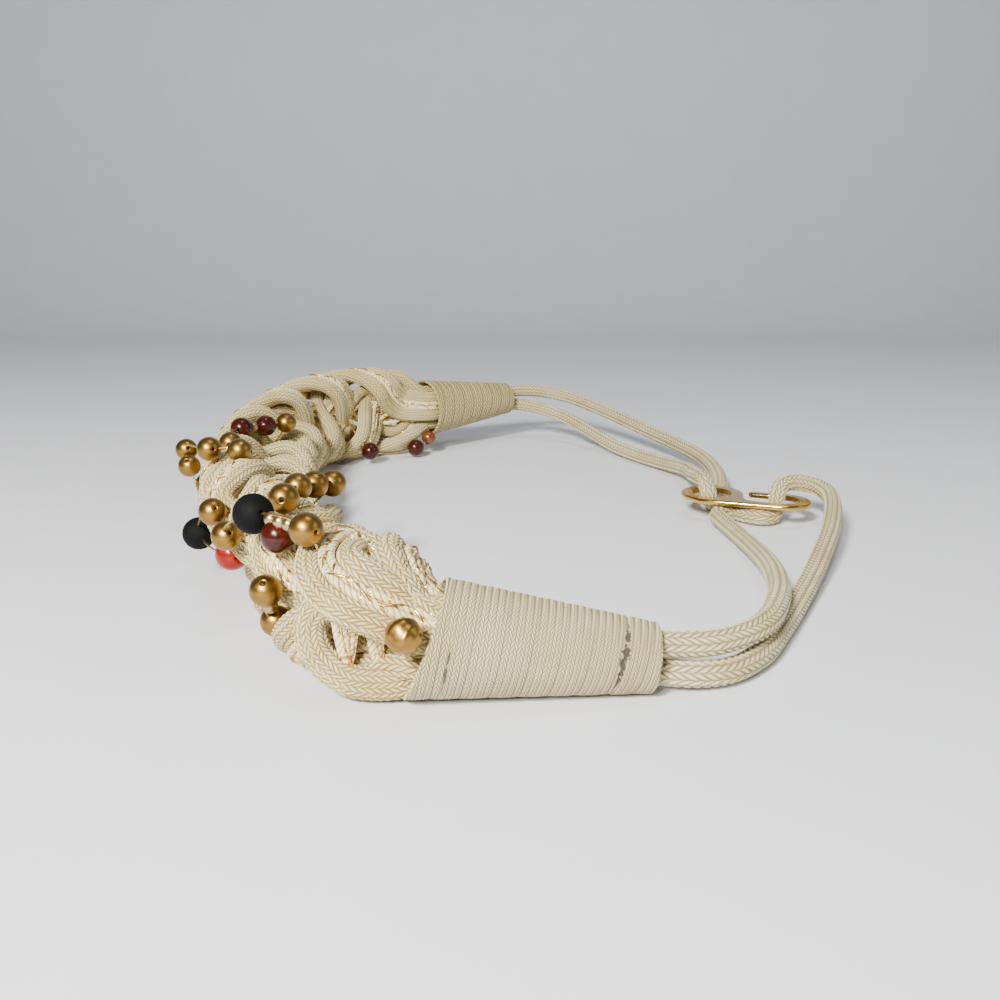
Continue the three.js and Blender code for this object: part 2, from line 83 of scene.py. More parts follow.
# Plait, as in the CAD part
plait_turns = 11 / 3
first_phase = 50.0
mouth_turn = 5.0
plait_swing = 0.0145
plait_depth = 0.0075
strand_spread = 0.0044
band_lean = 75.0
mouth_reach = 0.015
cross_start = 0.007
cross_ease = 0.016
mouth_ring = 0.0064
mouth_spread = 0.0032
strand_seat = 0.007

# How cords fill the plait's strands
strand_rows = 900  # points along a strand's middle line
pair_width = 1.2  # width of a bundle's thick cords over their thickness
pair_lift = 0.0004  # how far a thick cord wanders out of its strand's flat middle
look_ahead = 0.0004  # step along the plait's line over which its direction is read
lobe_spread = 0.0038  # from the middle of a loose bundle to its thick cords
loop_width = 1.25  # width of the low loop's cord over its thickness
loop_inner = 0.80  # size of the thin loop inside the low one
loop_sunk = 0.0012  # how far it lies behind the low one
hanging_lean = 0.0012

# Thin twisted cords and metallic threads that lie between the thick cords of a strand
ply_radius = 0.00098
ply_sides = 12
ply_step = 0.0006
inner_step = 0.001  # between the rings of the cords inside the plait
ply_pitch = 0.0046  # length of one full turn of the twist
ply_valley = 0.74  # least radius between two plies, as a share of the greatest
ply_round = 0.9  # how fully each ply is rounded towards its valleys
ply_beside = 0.00096  # from a strand's middle line to a thin cord's
ply_proud = 0.00225  # how far out of a strand's middle plane a thin cord lies
ply_lift = 0.0003  # how far it wanders from there
thread_radius = 0.00026
thread_sides = 6
thread_step = 0.0007
thread_unit = 0.001  # length of thread for one unit of V
thread_weave = 0.0115  # length over which a metallic thread wanders from side to side
thread_swing = 0.0012  # how far it wanders to either side
thread_proud = 0.00315  # how far out of a strand's middle plane it lies
thread_lift = 0.00035  # how far it rises and sinks from there

# Wound cones
cone_length = 0.049
cone_big_radius = 0.0133
cone_small_radius = 0.0077
cone_wall = 0.0015
cone_turns = 8
near_columns, near_stitches = 8, 56  # columns in one turn, and stitches round the cone
far_columns, far_stitches = 4, 34
turn_bulge = 0.00022  # how far the middle of a turn stands out of its edges
turn_round = 0.96  # how fully it is rounded towards those edges
winding_relief = 0.00032
crack_turn = 1.30  # where the winding has opened a little, in turns from the big rim
fray_turn = 7.16  # where its last turn has pulled away and frayed
fray_depth = 0.0004  # how far the winding sinks there
fray_width = 0.05  # in turns
rim_lip = 0.0005  # how far a rim falls in at the winding's ends
rim_lead = 0.0003  # and how far it goes out along the cone meanwhile
cup_depth = 0.0068  # from the big rim to the wall that closes the cone inside
pole_radius = 0.0004
# Each dark line's turn, the middle and half of its run as shares of the way round, and its width
worn_lines = [(crack_turn, 0.53, 0.10, 0.06), (fray_turn, 0.45, 0.17, 0.20)]
mouth_slant = 0.0034  # how far the big rim leans, from its middle to its top and bottom
bight_seat = 0.009

# Hook, as in the CAD part
hook_place = np.array([-0.0045, 0.0800, 0.0065])
hook_turn = 70.0
hook_thickness = 0.0018
hook_eye_radius = 0.011
hook_hole_radius = 0.0066
hook_arm_width = 0.0042
hook_shank_offset = 0.0126
hook_reach = 0.0345
hook_bend_radius = 0.0096
hook_tip_run = 0.011
hook_edge_radius = 0.0007

# The plait's middle line with its swing and depth shares and its roll in degrees
plait_line = np.array([
    (0.1470, -0.0120, 0.0133, 0.80, 1.00, 0),
    (0.1452, -0.0220, 0.0154, 0.84, 1.00, 0),
    (0.1380, -0.0310, 0.0166, 0.90, 1.00, 4),
    (0.1250, -0.0385, 0.0162, 0.86, 1.00, 12),
    (0.1080, -0.0460, 0.0162, 0.88, 0.96, 26),
    (0.0880, -0.0550, 0.0170, 1.00, 1.00, 44),
    (0.0680, -0.0635, 0.0168, 1.06, 1.00, 60),
    (0.0470, -0.0700, 0.0168, 1.10, 1.00, 70),
    (0.0240, -0.0755, 0.0164, 1.12, 1.00, 74),
    (-0.0020, -0.0810, 0.0164, 1.12, 1.00, 72),
    (-0.0300, -0.0855, 0.0170, 1.12, 1.00, 62),
    (-0.0570, -0.0855, 0.0182, 1.12, 1.00, 44),
    (-0.0820, -0.0800, 0.0198, 1.14, 1.00, 24),
    (-0.1020, -0.0685, 0.0206, 1.16, 1.05, 8),
    (-0.1160, -0.0515, 0.0206, 1.12, 1.00, 0),
    (-0.1240, -0.0320, 0.0204, 0.95, 1.00, 0),
])
near_cone_aim = np.array([-0.0020, 0.0493, -0.0057])
far_cone_aim = np.array([-0.0300, 0.0375, 0.0004])

# Loose turns of cord: a bundle that rises over the near cone's rim, another along the top of the
# plait, a single cord under the inner beads, and a single cord that loops low beside the cone
near_lobe_line = [
    (0.1466, -0.0030, 0.0165), (0.1464, -0.0090, 0.0190), (0.1444, -0.0140, 0.0232),
    (0.1400, -0.0168, 0.0268), (0.1345, -0.0172, 0.0266), (0.1298, -0.0185, 0.0215),
    (0.1280, -0.0215, 0.0160), (0.1300, -0.0260, 0.0130),
]
near_top_line = [
    (0.1430, -0.0185, 0.0190), (0.1395, -0.0225, 0.0245), (0.1340, -0.0270, 0.0280),
    (0.1260, -0.0325, 0.0285), (0.1170, -0.0370, 0.0265), (0.1090, -0.0410, 0.0220),
]
inner_arch_line = [
    (0.1080, -0.0520, 0.0180), (0.0980, -0.0450, 0.0220), (0.0880, -0.0430, 0.0228),
    (0.0770, -0.0430, 0.0215), (0.0690, -0.0470, 0.0180), (0.0650, -0.0560, 0.0140),
]
near_loop_line = [
    (0.1490, -0.0040, 0.0062), (0.1500, -0.0120, 0.0054), (0.1512, -0.0200, 0.0044),
    (0.1508, -0.0285, 0.0054), (0.1488, -0.0348, 0.0105), (0.1478, -0.0358, 0.0170),
    (0.1487, -0.0312, 0.0225), (0.1502, -0.0246, 0.0234), (0.1512, -0.0192, 0.0190),
    (0.1508, -0.0150, 0.0132), (0.1495, -0.0080, 0.0108),
]
# Thin cords that hang inside the low loop: where each starts in y, and their common route, whose
# middle number says how many times its own lean a cord has moved in y by then
hanging_starts = [-0.0215, -0.0238, -0.0262, -0.0285, -0.0305]
hanging_line = [
    (0.1480, -1, 0.0232), (0.1500, 0, 0.0185), (0.1506, 1, 0.0125), (0.1498, 2, 0.0065),
    (0.1475, 1, 0.0035),
]

# The bights' middle lines, outside the cones
near_bight_line = [
    (0.1436, 0.0470, 0.0102), (0.1398, 0.0545, 0.0099),
    (0.1305, 0.0640, 0.0098), (0.1130, 0.0720, 0.0097),
    (0.0950, 0.0765, 0.0086), (0.0760, 0.0795, 0.0066),
    (0.0560, 0.0812, 0.0044), (0.0360, 0.0810, 0.0032),
    (0.0200, 0.0796, 0.0032), (0.0100, 0.0792, 0.0032),
    (0.0046, 0.0816, 0.0032), (0.0042, 0.0864, 0.0032),
    (0.0084, 0.0900, 0.0032), (0.0112, 0.0944, 0.0032),
    (0.0090, 0.0986, 0.0033), (0.0060, 0.1002, 0.0066),
    (0.0039, 0.1012, 0.0102), (0.0010, 0.1038, 0.0124),
    (-0.0004, 0.1084, 0.0128), (0.0028, 0.1136, 0.0125),
    (0.0110, 0.1160, 0.0118), (0.0220, 0.1144, 0.0108),
    (0.0440, 0.1070, 0.0084), (0.0720, 0.0944, 0.0054),
    (0.0980, 0.0816, 0.0035), (0.1170, 0.0718, 0.0032),
    (0.1335, 0.0624, 0.0032), (0.1424, 0.0534, 0.0034),
    (0.1452, 0.0460, 0.0039),
]
far_bight_line = [
    (-0.1594, 0.0146, 0.0240), (-0.1606, 0.0240, 0.0234),
    (-0.1564, 0.0370, 0.0214), (-0.1456, 0.0490, 0.0184),
    (-0.1280, 0.0625, 0.0144), (-0.1100, 0.0735, 0.0112),
    (-0.0910, 0.0824, 0.0092), (-0.0700, 0.0882, 0.0082),
    (-0.0480, 0.0900, 0.0070), (-0.0300, 0.0886, 0.0046),
    (-0.0180, 0.0848, 0.0032), (-0.0094, 0.0808, 0.0034),
    (-0.0048, 0.0790, 0.0074), (-0.0082, 0.0778, 0.0116),
    (-0.0160, 0.0766, 0.0119), (-0.0280, 0.0774, 0.0098),
    (-0.0440, 0.0796, 0.0074), (-0.0600, 0.0798, 0.0052),
    (-0.0760, 0.0748, 0.0038), (-0.0940, 0.0664, 0.0034),
    (-0.1120, 0.0570, 0.0046), (-0.1300, 0.0474, 0.0080),
    (-0.1450, 0.0374, 0.0120), (-0.1538, 0.0256, 0.0154),
    (-0.1566, 0.0148, 0.0172),
]


# Arrays of vectors

def unit(rows):
    """Each row divided by its own length."""
    return rows / np.linalg.norm(rows, axis=-1, keepdims=True)


def smooth(value, low, high):
    """0 below low, 1 above high, and 3t squared minus 2t cubed between them."""
    share = np.clip((value - low) / (high - low), 0, 1)
    return share * share * (3 - 2 * share)


def mix(a, b, amount):
    return a + (b - a) * amount


def dense_curve(rows, steps=40):
    """Points along a smooth curve through the rows. On each stretch the curve is a cubic whose
    end slopes weigh the neighbouring stretches by the square roots of their lengths."""
    rows = np.asarray(rows, dtype=float)
    rows = np.vstack([2 * rows[0] - rows[1], rows, 2 * rows[-1] - rows[-2]])
    before, start, end, after = rows[:-3], rows[1:-2], rows[2:-1], rows[3:]
    knots = np.sqrt(np.linalg.norm(np.diff(rows, axis=0), axis=1))[:, None]
    k0, k1, k2 = knots[:-2], knots[1:-1], knots[2:]
    slope_1 = (start - before) / k0 - (end - before) / (k0 + k1) + (end - start) / k1
    slope_2 = (end - start) / k1 - (after - start) / (k1 + k2) + (after - end) / k2
    slope_1 = slope_1 * k1
    slope_2 = slope_2 * k1
    t = np.linspace(0, 1, steps, endpoint=False)[None, :, None]
    s, e, m, n = start[:, None], end[:, None], slope_1[:, None], slope_2[:, None]
    points = s + m * t + (3 * (e - s) - 2 * m - n) * t ** 2 + (2 * (s - e) + m + n) * t ** 3
    return np.vstack([points.reshape(-1, 3), rows[-2]])


def run_lengths(points):
    """Distance along a line of points, from its first point."""
    steps = np.linalg.norm(np.diff(points, axis=0), axis=1)
    return np.concatenate([[0], np.cumsum(steps)])


def along_line(points, shares):
    """Points at shares of the line's length."""
    run = run_lengths(points)
    return np.stack([np.interp(np.asarray(shares) * run[-1], run, points[:, k]) for k in range(3)], 1)


def even_line(points, step):
    """The same line with its points about one step apart."""
    count = max(int(round(run_lengths(points)[-1] / step)), 8)
    return along_line(points, np.linspace(0, 1, count + 1))


def carried_side(points, first_side):
    """A direction square to the line at each point, carried along it without turning about it:
    each one is the one before it less its share along the line."""
    along = unit(np.gradient(points, axis=0))
    sides = np.empty_like(points)
    side = np.asarray(first_side, dtype=float)
    for row, direction in enumerate(along):
        side = side - direction * side.dot(direction)
        side = side / np.linalg.norm(side)
        sides[row] = side
    return along, sides


# Meshes

def grid_faces(rows, columns):
    """Corner numbers of a grid that closes round its columns, and the same corners unwrapped."""
    row, column = np.meshgrid(np.arange(rows - 1), np.arange(columns), indexing="ij")
    row, column = row.ravel(), column.ravel()
    following = (column + 1) % columns
    faces = np.stack([
        row * columns + column, row * columns + following,
        (row + 1) * columns + following, (row + 1) * columns + column,
    ], 1)
    wide = columns + 1
    unwrapped = np.stack([
        row * wide + column, row * wide + column + 1,
        (row + 1) * wide + column + 1, (row + 1) * wide + column,
    ], 1)
    return faces, unwrapped


class Piece:
    """Gathers tubes and other round grids into one mesh, with a UV map."""

    def __init__(self, name):
        self.name = name
        self.points = []
        self.corners = []
        self.sizes = []
        self.uvs = []
        self.count = 0

    def add(self, points, uv, capped=True):
        """points has rows, columns and 3 numbers, and uv has one more column than points."""
        rows, columns = points.shape[:2]
        faces, unwrapped = grid_faces(rows, columns)
        flat_uv = uv.reshape(-1, 2)
        self.points.append(points.reshape(-1, 3))
        self.corners.append((faces + self.count).ravel())
        self.sizes.append(np.full(len(faces), 4))
        self.uvs.append(flat_uv[unwrapped].reshape(-1, 2))
        if capped:
            start = np.arange(columns)[::-1]
            end = (rows - 1) * columns + np.arange(columns)
            self.corners.append(np.concatenate([start, end]) + self.count)
            self.sizes.append(np.array([columns, columns]))
            self.uvs.append(np.vstack([uv[0, :-1][::-1], uv[-1, :-1]]))
        self.count += rows * columns

    def add_faces(self, points, faces):
        """points has 3 numbers a row, and faces 3 or 4 corner numbers a row."""
        self.points.append(points)
        self.corners.append((faces + self.count).ravel())
        self.sizes.append(np.full(len(faces), faces.shape[1]))
        self.uvs.append(points[faces, :2].reshape(-1, 2))
        self.count += len(points)

    def make(self, material, slot=None, replaces=(), placed=True):
        """The mesh and its object. Points in the belt's own plan are moved into the frame."""
        points = np.vstack(self.points)
        if placed:
            points = points + plan_shift
        corners = np.concatenate(self.corners).astype(np.int32)
        sizes = np.concatenate(self.sizes).astype(np.int32)
        mesh = bpy.data.meshes.new(self.name)
        mesh.vertices.add(len(points))
        mesh.vertices.foreach_set("co", points.astype(np.float32).ravel())
        mesh.loops.add(len(corners))
        mesh.loops.foreach_set("vertex_index", corners)
        mesh.polygons.add(len(sizes))
        starts = np.concatenate([[0], np.cumsum(sizes)[:-1]]).astype(np.int32)
        mesh.polygons.foreach_set("loop_start", starts)
        mesh.polygons.foreach_set("use_smooth", np.ones(len(sizes), dtype=bool))
        layer = mesh.uv_layers.new(name="UVMap")
        layer.uv.foreach_set("vector", np.vstack(self.uvs).astype(np.float32).ravel())
        mesh.update(calc_edges=True)
        mesh.materials.append(material)
        piece = bpy.data.objects.new(self.name, mesh)
        bpy.context.scene.collection.objects.link(piece)
        if slot:
            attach(piece, "root")
        if replaces:
            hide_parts(*replaces)
        return piece


def ring_grid(centres, first, second, radius, sides):
    """Rings about the centres: centre + radius (cos a first + sin a second), a from 0 to 360."""
    angle = 2 * np.pi * np.arange(sides) / sides
    cos, sin = np.cos(angle)[None, :, None], np.sin(angle)[None, :, None]
    return centres[:, None] + radius[..., None] * (first[:, None] * cos + second[:, None] * sin)


def tube_uv(run, sides, columns, stitch):
    """U counts columns round the tube and V counts stitches along it."""
    around = np.arange(sides + 1) / sides * columns
    u, v = np.broadcast_arrays(around[None, :], (run / stitch)[:, None])
    return np.stack([u, v], 2)


def braid_height(across, along):
    """Height, from 0 to 1, of a braid whose columns of stitches lean by turns to either side:
    a stitch is raised in its middle and low at its ends and along its column's edges."""
    column = np.floor(across)
    side = 2 * (across - column) - 1
    odd = column % 2
    stitch = along + stitch_lean * (1 - 2 * odd) * side + 0.5 * odd
    middle = 2 * (stitch - np.floor(stitch)) - 1
    return (1 - np.abs(middle) ** end_power) * (1 - edge_drop * np.abs(side) ** edge_power)


def cord_rings(points, first, step):
    """A cord's middle points about one step apart, two directions square to it at each of them,
    of which one is as near to first as it can be, and the distance along it."""
    run = run_lengths(points)
    count = max(int(round(run[-1] / step)), 8)
    shares = np.linspace(0, 1, count + 1)
    distance = shares * run[-1]
    centres = along_line(points, shares)
    side = np.stack([np.interp(distance, run, first[:, k]) for k in range(3)], 1)
    along = unit(np.gradient(centres, axis=0))
    side = unit(side - along * np.sum(side * along, 1, keepdims=True))
    return centres, side, np.cross(along, side), distance


def add_braided_cord(piece, points, first, radius=cord_radius, step=cord_step, start_turn=0.0,
                     wide=1.0, columns=fine_columns, stitch=fine_stitch):
    """A cord along the points, whose radius dips between the stitches of its braid. Its section
    is an ellipse: radius on the first side, and wide times as much square to it."""
    centres, side, other, distance = cord_rings(points, first, step)
    around = np.arange(cord_sides) / cord_sides * columns
    height = braid_height(around[None, :] + start_turn, (distance / stitch)[:, None])
    angle = 2 * np.pi * np.arange(cord_sides) / cord_sides
    ellipse = wide / np.sqrt((wide * np.cos(angle)) ** 2 + np.sin(angle) ** 2)
    rings = radius * ellipse[None, :] - cord_relief * (1 - height)
    uv = tube_uv(distance, cord_sides, columns, stitch)
    uv[..., 0] += start_turn
    piece.add(ring_grid(centres, side, other, rings, cord_sides), uv)


def add_twisted_cord(piece, points, first, step=ply_step, start_turn=0.0):
    """Three plies twisted together: the radius is greatest over each ply's middle, and the plies
    turn about the cord once in each pitch."""
    centres, side, other, distance = cord_rings(points, first, step)
    turn = (distance / ply_pitch)[:, None] + start_turn
    ply = 3 * (np.arange(ply_sides + 1)[None, :] / ply_sides - turn)
    middle = 2 * (ply[:, :-1] - np.floor(ply[:, :-1])) - 1
    rings = ply_radius * (ply_valley + (1 - ply_valley) * np.sqrt(1 - ply_round * middle ** 2))
    turns_along = np.broadcast_to((distance / ply_pitch)[:, None], ply.shape)
    piece.add(ring_grid(centres, side, other, rings, ply_sides), np.stack([ply, turns_along], 2))


def add_thread(piece, points, radius=thread_radius):
    """A plain thin tube along the points."""
    centres = even_line(points, thread_step)
    along = unit(np.gradient(centres, axis=0))
    lean = np.where(np.abs(along[:, 2:]) > steep, np.array([[1.0, 0, 0]]), world_up[None, :])
    first = unit(np.cross(along, lean))
    rings = np.full((len(centres), thread_sides), radius)
    grid = ring_grid(centres, first, np.cross(along, first), rings, thread_sides)
    piece.add(grid, tube_uv(run_lengths(centres), thread_sides, 1, thread_unit))


# Node groups and materials

def new_group(name, inputs, outputs):
    """An empty shader group with the named sockets: its wires, itself, and the sockets that it
    is given and that it results in."""
    group = bpy.data.node_groups.new(name, "ShaderNodeTree")
    for direction, sockets in (("INPUT", inputs), ("OUTPUT", outputs)):
        for socket, kind in sockets:
            group.interface.new_socket(socket, in_out=direction, socket_type="NodeSocket" + kind)
    start = group.nodes.new("NodeGroupInput")
    end = group.nodes.new("NodeGroupOutput")
    return Wires(group), group, start.outputs, end.inputs


class Wires:
    """Short forms for making and joining shader nodes in one tree."""

    def __init__(self, tree):
        self.nodes = tree.nodes
        self.links = tree.links

    def put(self, socket, value):
        if isinstance(value, bpy.types.NodeSocket):
            self.links.new(value, socket)
        elif value is not None:
            socket.default_value = value

    def math(self, operation, a, b=None, c=None):
        node = self.nodes.new("ShaderNodeMath")
        node.operation = operation
        for socket, value in zip(node.inputs, (a, b, c)):
            self.put(socket, value)
        return node.outputs[0]

    def times(self, a, b):
        return self.math("MULTIPLY", a, b)

    def swing(self, value):
        """How far each value is from the middle between two whole numbers: 0 there, 1 at them."""
        return self.math("ABSOLUTE", self.math("MULTIPLY_ADD", self.math("FRACT", value), 2.0, -1.0))

    def split(self, vector):
        node = self.nodes.new("ShaderNodeSeparateXYZ")
        self.put(node.inputs[0], vector)
        return node.outputs

    def join(self, x, y):
        node = self.nodes.new("ShaderNodeCombineXYZ")
        self.put(node.inputs[0], x)
        self.put(node.inputs[1], y)
        return node.outputs[0]

    def noise(self, vector, scale, detail):
        node = self.nodes.new("ShaderNodeTexNoise")
        self.put(node.inputs["Vector"], vector)
        self.put(node.inputs["Scale"], scale)
        self.put(node.inputs["Detail"], detail)
        return node.outputs[0]

    def ramp(self, value, low, high, start=0.0, end=1.0):
        node = self.nodes.new("ShaderNodeMapRange")
        for socket, setting in zip(node.inputs, (value, low, high, start, end)):
            self.put(socket, setting)
        return node.outputs[0]

    def colour(self, amount, a, b):
        """A mix of two colours, each of them a socket or three numbers."""
        node = self.nodes.new("ShaderNodeMix")
        node.data_type = "RGBA"
        self.put(node.inputs[0], amount)
        for socket, value in ((node.inputs[6], a), (node.inputs[7], b)):
            self.put(socket, (*value, 1) if isinstance(value, tuple) else value)
        return node.outputs[2]

    def cover(self, base, mask, share, colour):
        """The base covered with a colour where the mask is 1, by the share."""
        return self.colour(self.times(mask, share), base, colour)

    def bump(self, height, distance, strength):
        node = self.nodes.new("ShaderNodeBump")
        self.put(node.inputs["Strength"], strength)
        self.put(node.inputs["Distance"], distance)
        self.put(node.inputs["Height"], height)
        return node.outputs[0]

    def group(self, group, **values):
        node = self.nodes.new("ShaderNodeGroup")
        node.node_tree = group
        for name, value in values.items():
            self.put(node.inputs[name], value)
        return node.outputs


def braid_group():
    """The braid's height, as in braid_height, with fine fibres that run along each stitch."""
    w, group, given, result = new_group(
        "braid", [("Place", "Vector")], [("Height", "Float"), ("Fibre", "Float")])
    across, along, _ = w.split(given["Place"])
    side = w.math("MULTIPLY_ADD", w.math("FRACT", across), 2.0, -1.0)
    odd = w.times(w.math("FRACT", w.times(w.math("FLOOR", across), 0.5)), 2.0)
    lean = w.math("MULTIPLY_ADD", odd, -2.0 * stitch_lean, stitch_lean)
    stitch = w.math("MULTIPLY_ADD", odd, 0.5, w.math("MULTIPLY_ADD", lean, side, along))
    raised = w.math("SUBTRACT", 1.0, w.math("POWER", w.swing(stitch), end_power))
    edge = w.math("POWER", w.math("ABSOLUTE", side), edge_power)
    w.put(result["Height"], w.times(raised, w.math("MULTIPLY_ADD", edge, -edge_drop, 1.0)))
    unevenness = w.times(w.noise(w.join(across, along), 9.0, 1.0), 1.6)
    fibre = w.math("PINGPONG", w.math("MULTIPLY_ADD", stitch, stitch_fibres, unevenness), 0.5)
    w.put(result["Fibre"], w.times(fibre, 2.0))
    return group


def soil_group():
    """Slow changes of colour in patches of the given scale, and fine specks."""
    w, group, given, result = new_group(
        "yellowing", [("Place", "Vector"), ("Scale", "Float")],
        [("Patch", "Float"), ("Speck", "Float")])
    w.put(result["Patch"], w.ramp(w.noise(given["Place"], given["Scale"], 2.0), 0.35, 0.68))
    w.put(result["Speck"], w.ramp(w.noise(given["Place"], speck_scale, 2.0), 0.45, 0.75))
    return group


def stain_group():
    """Brown stains in patches, strongest where the plait leaves the near cone and gone within
    stain_reach of that place."""
    w, group, given, result = new_group("stain", [("Place", "Vector")], [("Amount", "Float")])
    away = w.nodes.new("ShaderNodeVectorMath")
    away.operation = "DISTANCE"
    w.put(away.inputs[0], given["Place"])
    w.put(away.inputs[1], stain_place)
    near = w.ramp(away.outputs["Value"], stain_core, stain_reach, 1.0, 0.0)
    patch = w.ramp(w.noise(given["Place"], 210.0, 3.0), 0.44, 0.62)
    w.put(result["Amount"], w.times(near, patch))
    return group


def new_material(name):
    """A new material: its wires, its shader's sockets, and the piece's own coordinates."""
    material = bpy.data.materials.new(name)
    material.use_nodes = True
    w = Wires(material.node_tree)
    place = w.nodes.new("ShaderNodeTexCoord").outputs["Object"]
    return material, w, material.node_tree.nodes["Principled BSDF"].inputs, place


def uv_place(w):
    node = w.nodes.new("ShaderNodeUVMap")
    node.uv_map = "UVMap"
    return node.outputs[0]


def finish_braid(w, shader, braid, dull, glossy, fibre_share):
    """Gloss and bump of a braid: the tops of its stitches are glossy and its grooves dull."""
    w.put(shader["Roughness"], w.ramp(braid["Height"], 0.0, 1.0, dull, glossy))
    height = w.math("MULTIPLY_ADD", braid["Fibre"], fibre_share, braid["Height"])
    w.put(shader["Normal"], w.bump(height, stitch_bump, 1.0))
    w.put(shader["Sheen Weight"], cord_sheen)


def cord_material(name, light, warm, groove_shade):
    """Braided ivory cord: light stitches with fine fibres, painted warm shade in the grooves and
    between the fibres, dark specks, and brown stains in the grooves near the near cone."""
    material, w, shader, place = new_material(name)
    braid = w.group(braids, Place=uv_place(w))
    soil = w.group(soils, Place=place, Scale=cord_patches)
    depth = w.ramp(braid["Height"], 0.10, 0.94, 1.0, 0.0)
    base = w.colour(soil["Patch"], light, warm)
    # dark specks in the colour of the painted groove shade
    base = w.cover(base, soil["Speck"], 0.10, groove_shade)
    # painted shade in the grooves between stitches
    base = w.cover(base, depth, 0.90, groove_shade)
    # painted shade between the fibres of each stitch
    base = w.cover(base, w.math("SUBTRACT", 1.0, braid["Fibre"]), 0.10, groove_shade)
    stained = w.times(w.group(stains, Place=place)["Amount"], depth)
    w.put(shader["Base Color"], w.cover(base, stained, 0.75, stain_brown))
    finish_braid(w, shader, braid, 0.60, 0.25, 0.16)
    w.put(shader["Sheen Roughness"], 0.4)
    w.put(shader["Specular IOR Level"], 0.65)
    return material


def ply_material(name, light, groove_shade, gold):
    """Thin twisted cord: two ivory plies, and one that flashes with metallic thread, with painted
    shade in the valleys between the plies.
    """
    material, w, shader, place = new_material(name)
    ply = w.split(uv_place(w))[0]
    which = w.times(w.math("FRACT", w.times(ply, 1 / 3)), 3.0)
    away = w.swing(ply)
    deep = w.ramp(away, 0.55, 1.0)
    flecks = w.ramp(w.noise(place, 900.0, 2.0), 0.46, 0.56)
    metal = w.times(w.math("LESS_THAN", which, 0.62), flecks)
    # painted shade in the valleys between the plies
    base = w.cover(light, deep, 0.75, groove_shade)
    stain = w.group(stains, Place=place)["Amount"]
    base = w.colour(w.times(stain, w.math("MULTIPLY_ADD", deep, 0.6, 0.1)), base, stain_brown)
    w.put(shader["Base Color"], w.colour(metal, base, gold))
    w.put(shader["Metallic"], metal)
    w.put(shader["Roughness"], w.ramp(metal, 0.0, 1.0, 0.5, 0.24))
    fibre = w.math("PINGPONG", w.times(ply, 4.0), 0.5)
    w.put(shader["Normal"], w.bump(w.math("MULTIPLY_ADD", away, -1.0, fibre), 0.00012, 0.6))
    w.put(shader["Sheen Weight"], cord_sheen)
    return material


def thread_material():
    """Metallic thread: gold foil whose colour changes along its length between glossier painted
    glints and dull brown painted shade.
    """
    material, w, shader, place = new_material("gold_thread")
    painted_glint = w.ramp(w.noise(place, 1600.0, 1.0), 0.4, 0.62)
    # bright painted glints and dull brown painted shade along the thread
    w.put(shader["Base Color"], w.colour(painted_glint, (0.36, 0.20, 0.05), (0.95, 0.72, 0.30)))
    w.put(shader["Roughness"], w.ramp(painted_glint, 0.0, 1.0, 0.5, 0.2))
    w.put(shader["Metallic"], 1.0)
    return material


def winding_material(name, columns, stitches, light, warm, seam_shade, worn):
    """Flattened braided cord wound side by side, with painted shade in the grooves between its
    stitches and along the line where two turns meet. Each worn line is a ragged opening filled with
    dark painted shade, widest in its middle and closed at both ends."""
    material, w, shader, place = new_material(name)
    map_place = uv_place(w)
    braid = w.group(braids, Place=map_place)
    soil = w.group(soils, Place=place, Scale=cord_patches)
    across, along, _ = w.split(map_place)
    turns = w.times(across, 1 / columns)
    round_cone = w.times(along, 1 / stitches)
    base = w.colour(soil["Patch"], light, warm)
    # painted shade in the grooves between stitches
    base = w.cover(base, w.ramp(braid["Height"], 0.15, 0.98, 1.0, 0.0), 0.90, (0.23, 0.155, 0.05))
    # painted shade along the line where two turns meet
    base = w.cover(base, w.ramp(w.swing(turns), 0.84, 0.97), seam_shade, (0.17, 0.12, 0.05))
    ragged = w.ramp(w.noise(place, 900.0, 3.0), 0.36, 0.60)
    for at_turn, middle, half, thick in worn:
        away = w.math("ABSOLUTE", w.math("SUBTRACT", turns, at_turn))
        from_middle = w.math("ABSOLUTE", w.math("SUBTRACT", round_cone, middle))
        narrow = w.ramp(from_middle, 0.0, half, 1.0, 0.0)
        opened = w.math("LESS_THAN", away, w.times(w.times(ragged, narrow), thick))
        opened = w.times(opened, w.math("LESS_THAN", from_middle, half))
        # the opening is filled with dark painted shade
        base = w.cover(base, opened, 0.9, (0.030, 0.024, 0.014))
    w.put(shader["Base Color"], base)
    finish_braid(w, shader, braid, 0.62, 0.24, 0.14)
    return material


def bead_material(name, base, deep, metallic, roughness, coat, grain=0.0, shine=0.5):
    """A round bead: the colour deepens in fine mottles, and the finish is even apart from them."""
    material, w, shader, place = new_material(name)
    soil = w.group(soils, Place=place, Scale=bead_patches)
    w.put(shader["Base Color"], w.colour(soil["Patch"], base, deep))
    w.put(shader["Roughness"], w.ramp(soil["Speck"], 0.0, 1.0, roughness, roughness + 0.08))
    w.put(shader["Metallic"], metallic)
    w.put(shader["Specular IOR Level"], shine)
    w.put(shader["Coat Weight"], coat)
    w.put(shader["Coat Roughness"], 0.12)
    if grain:
        w.put(shader["Normal"], w.bump(soil["Speck"], grain, 0.5))
    return material


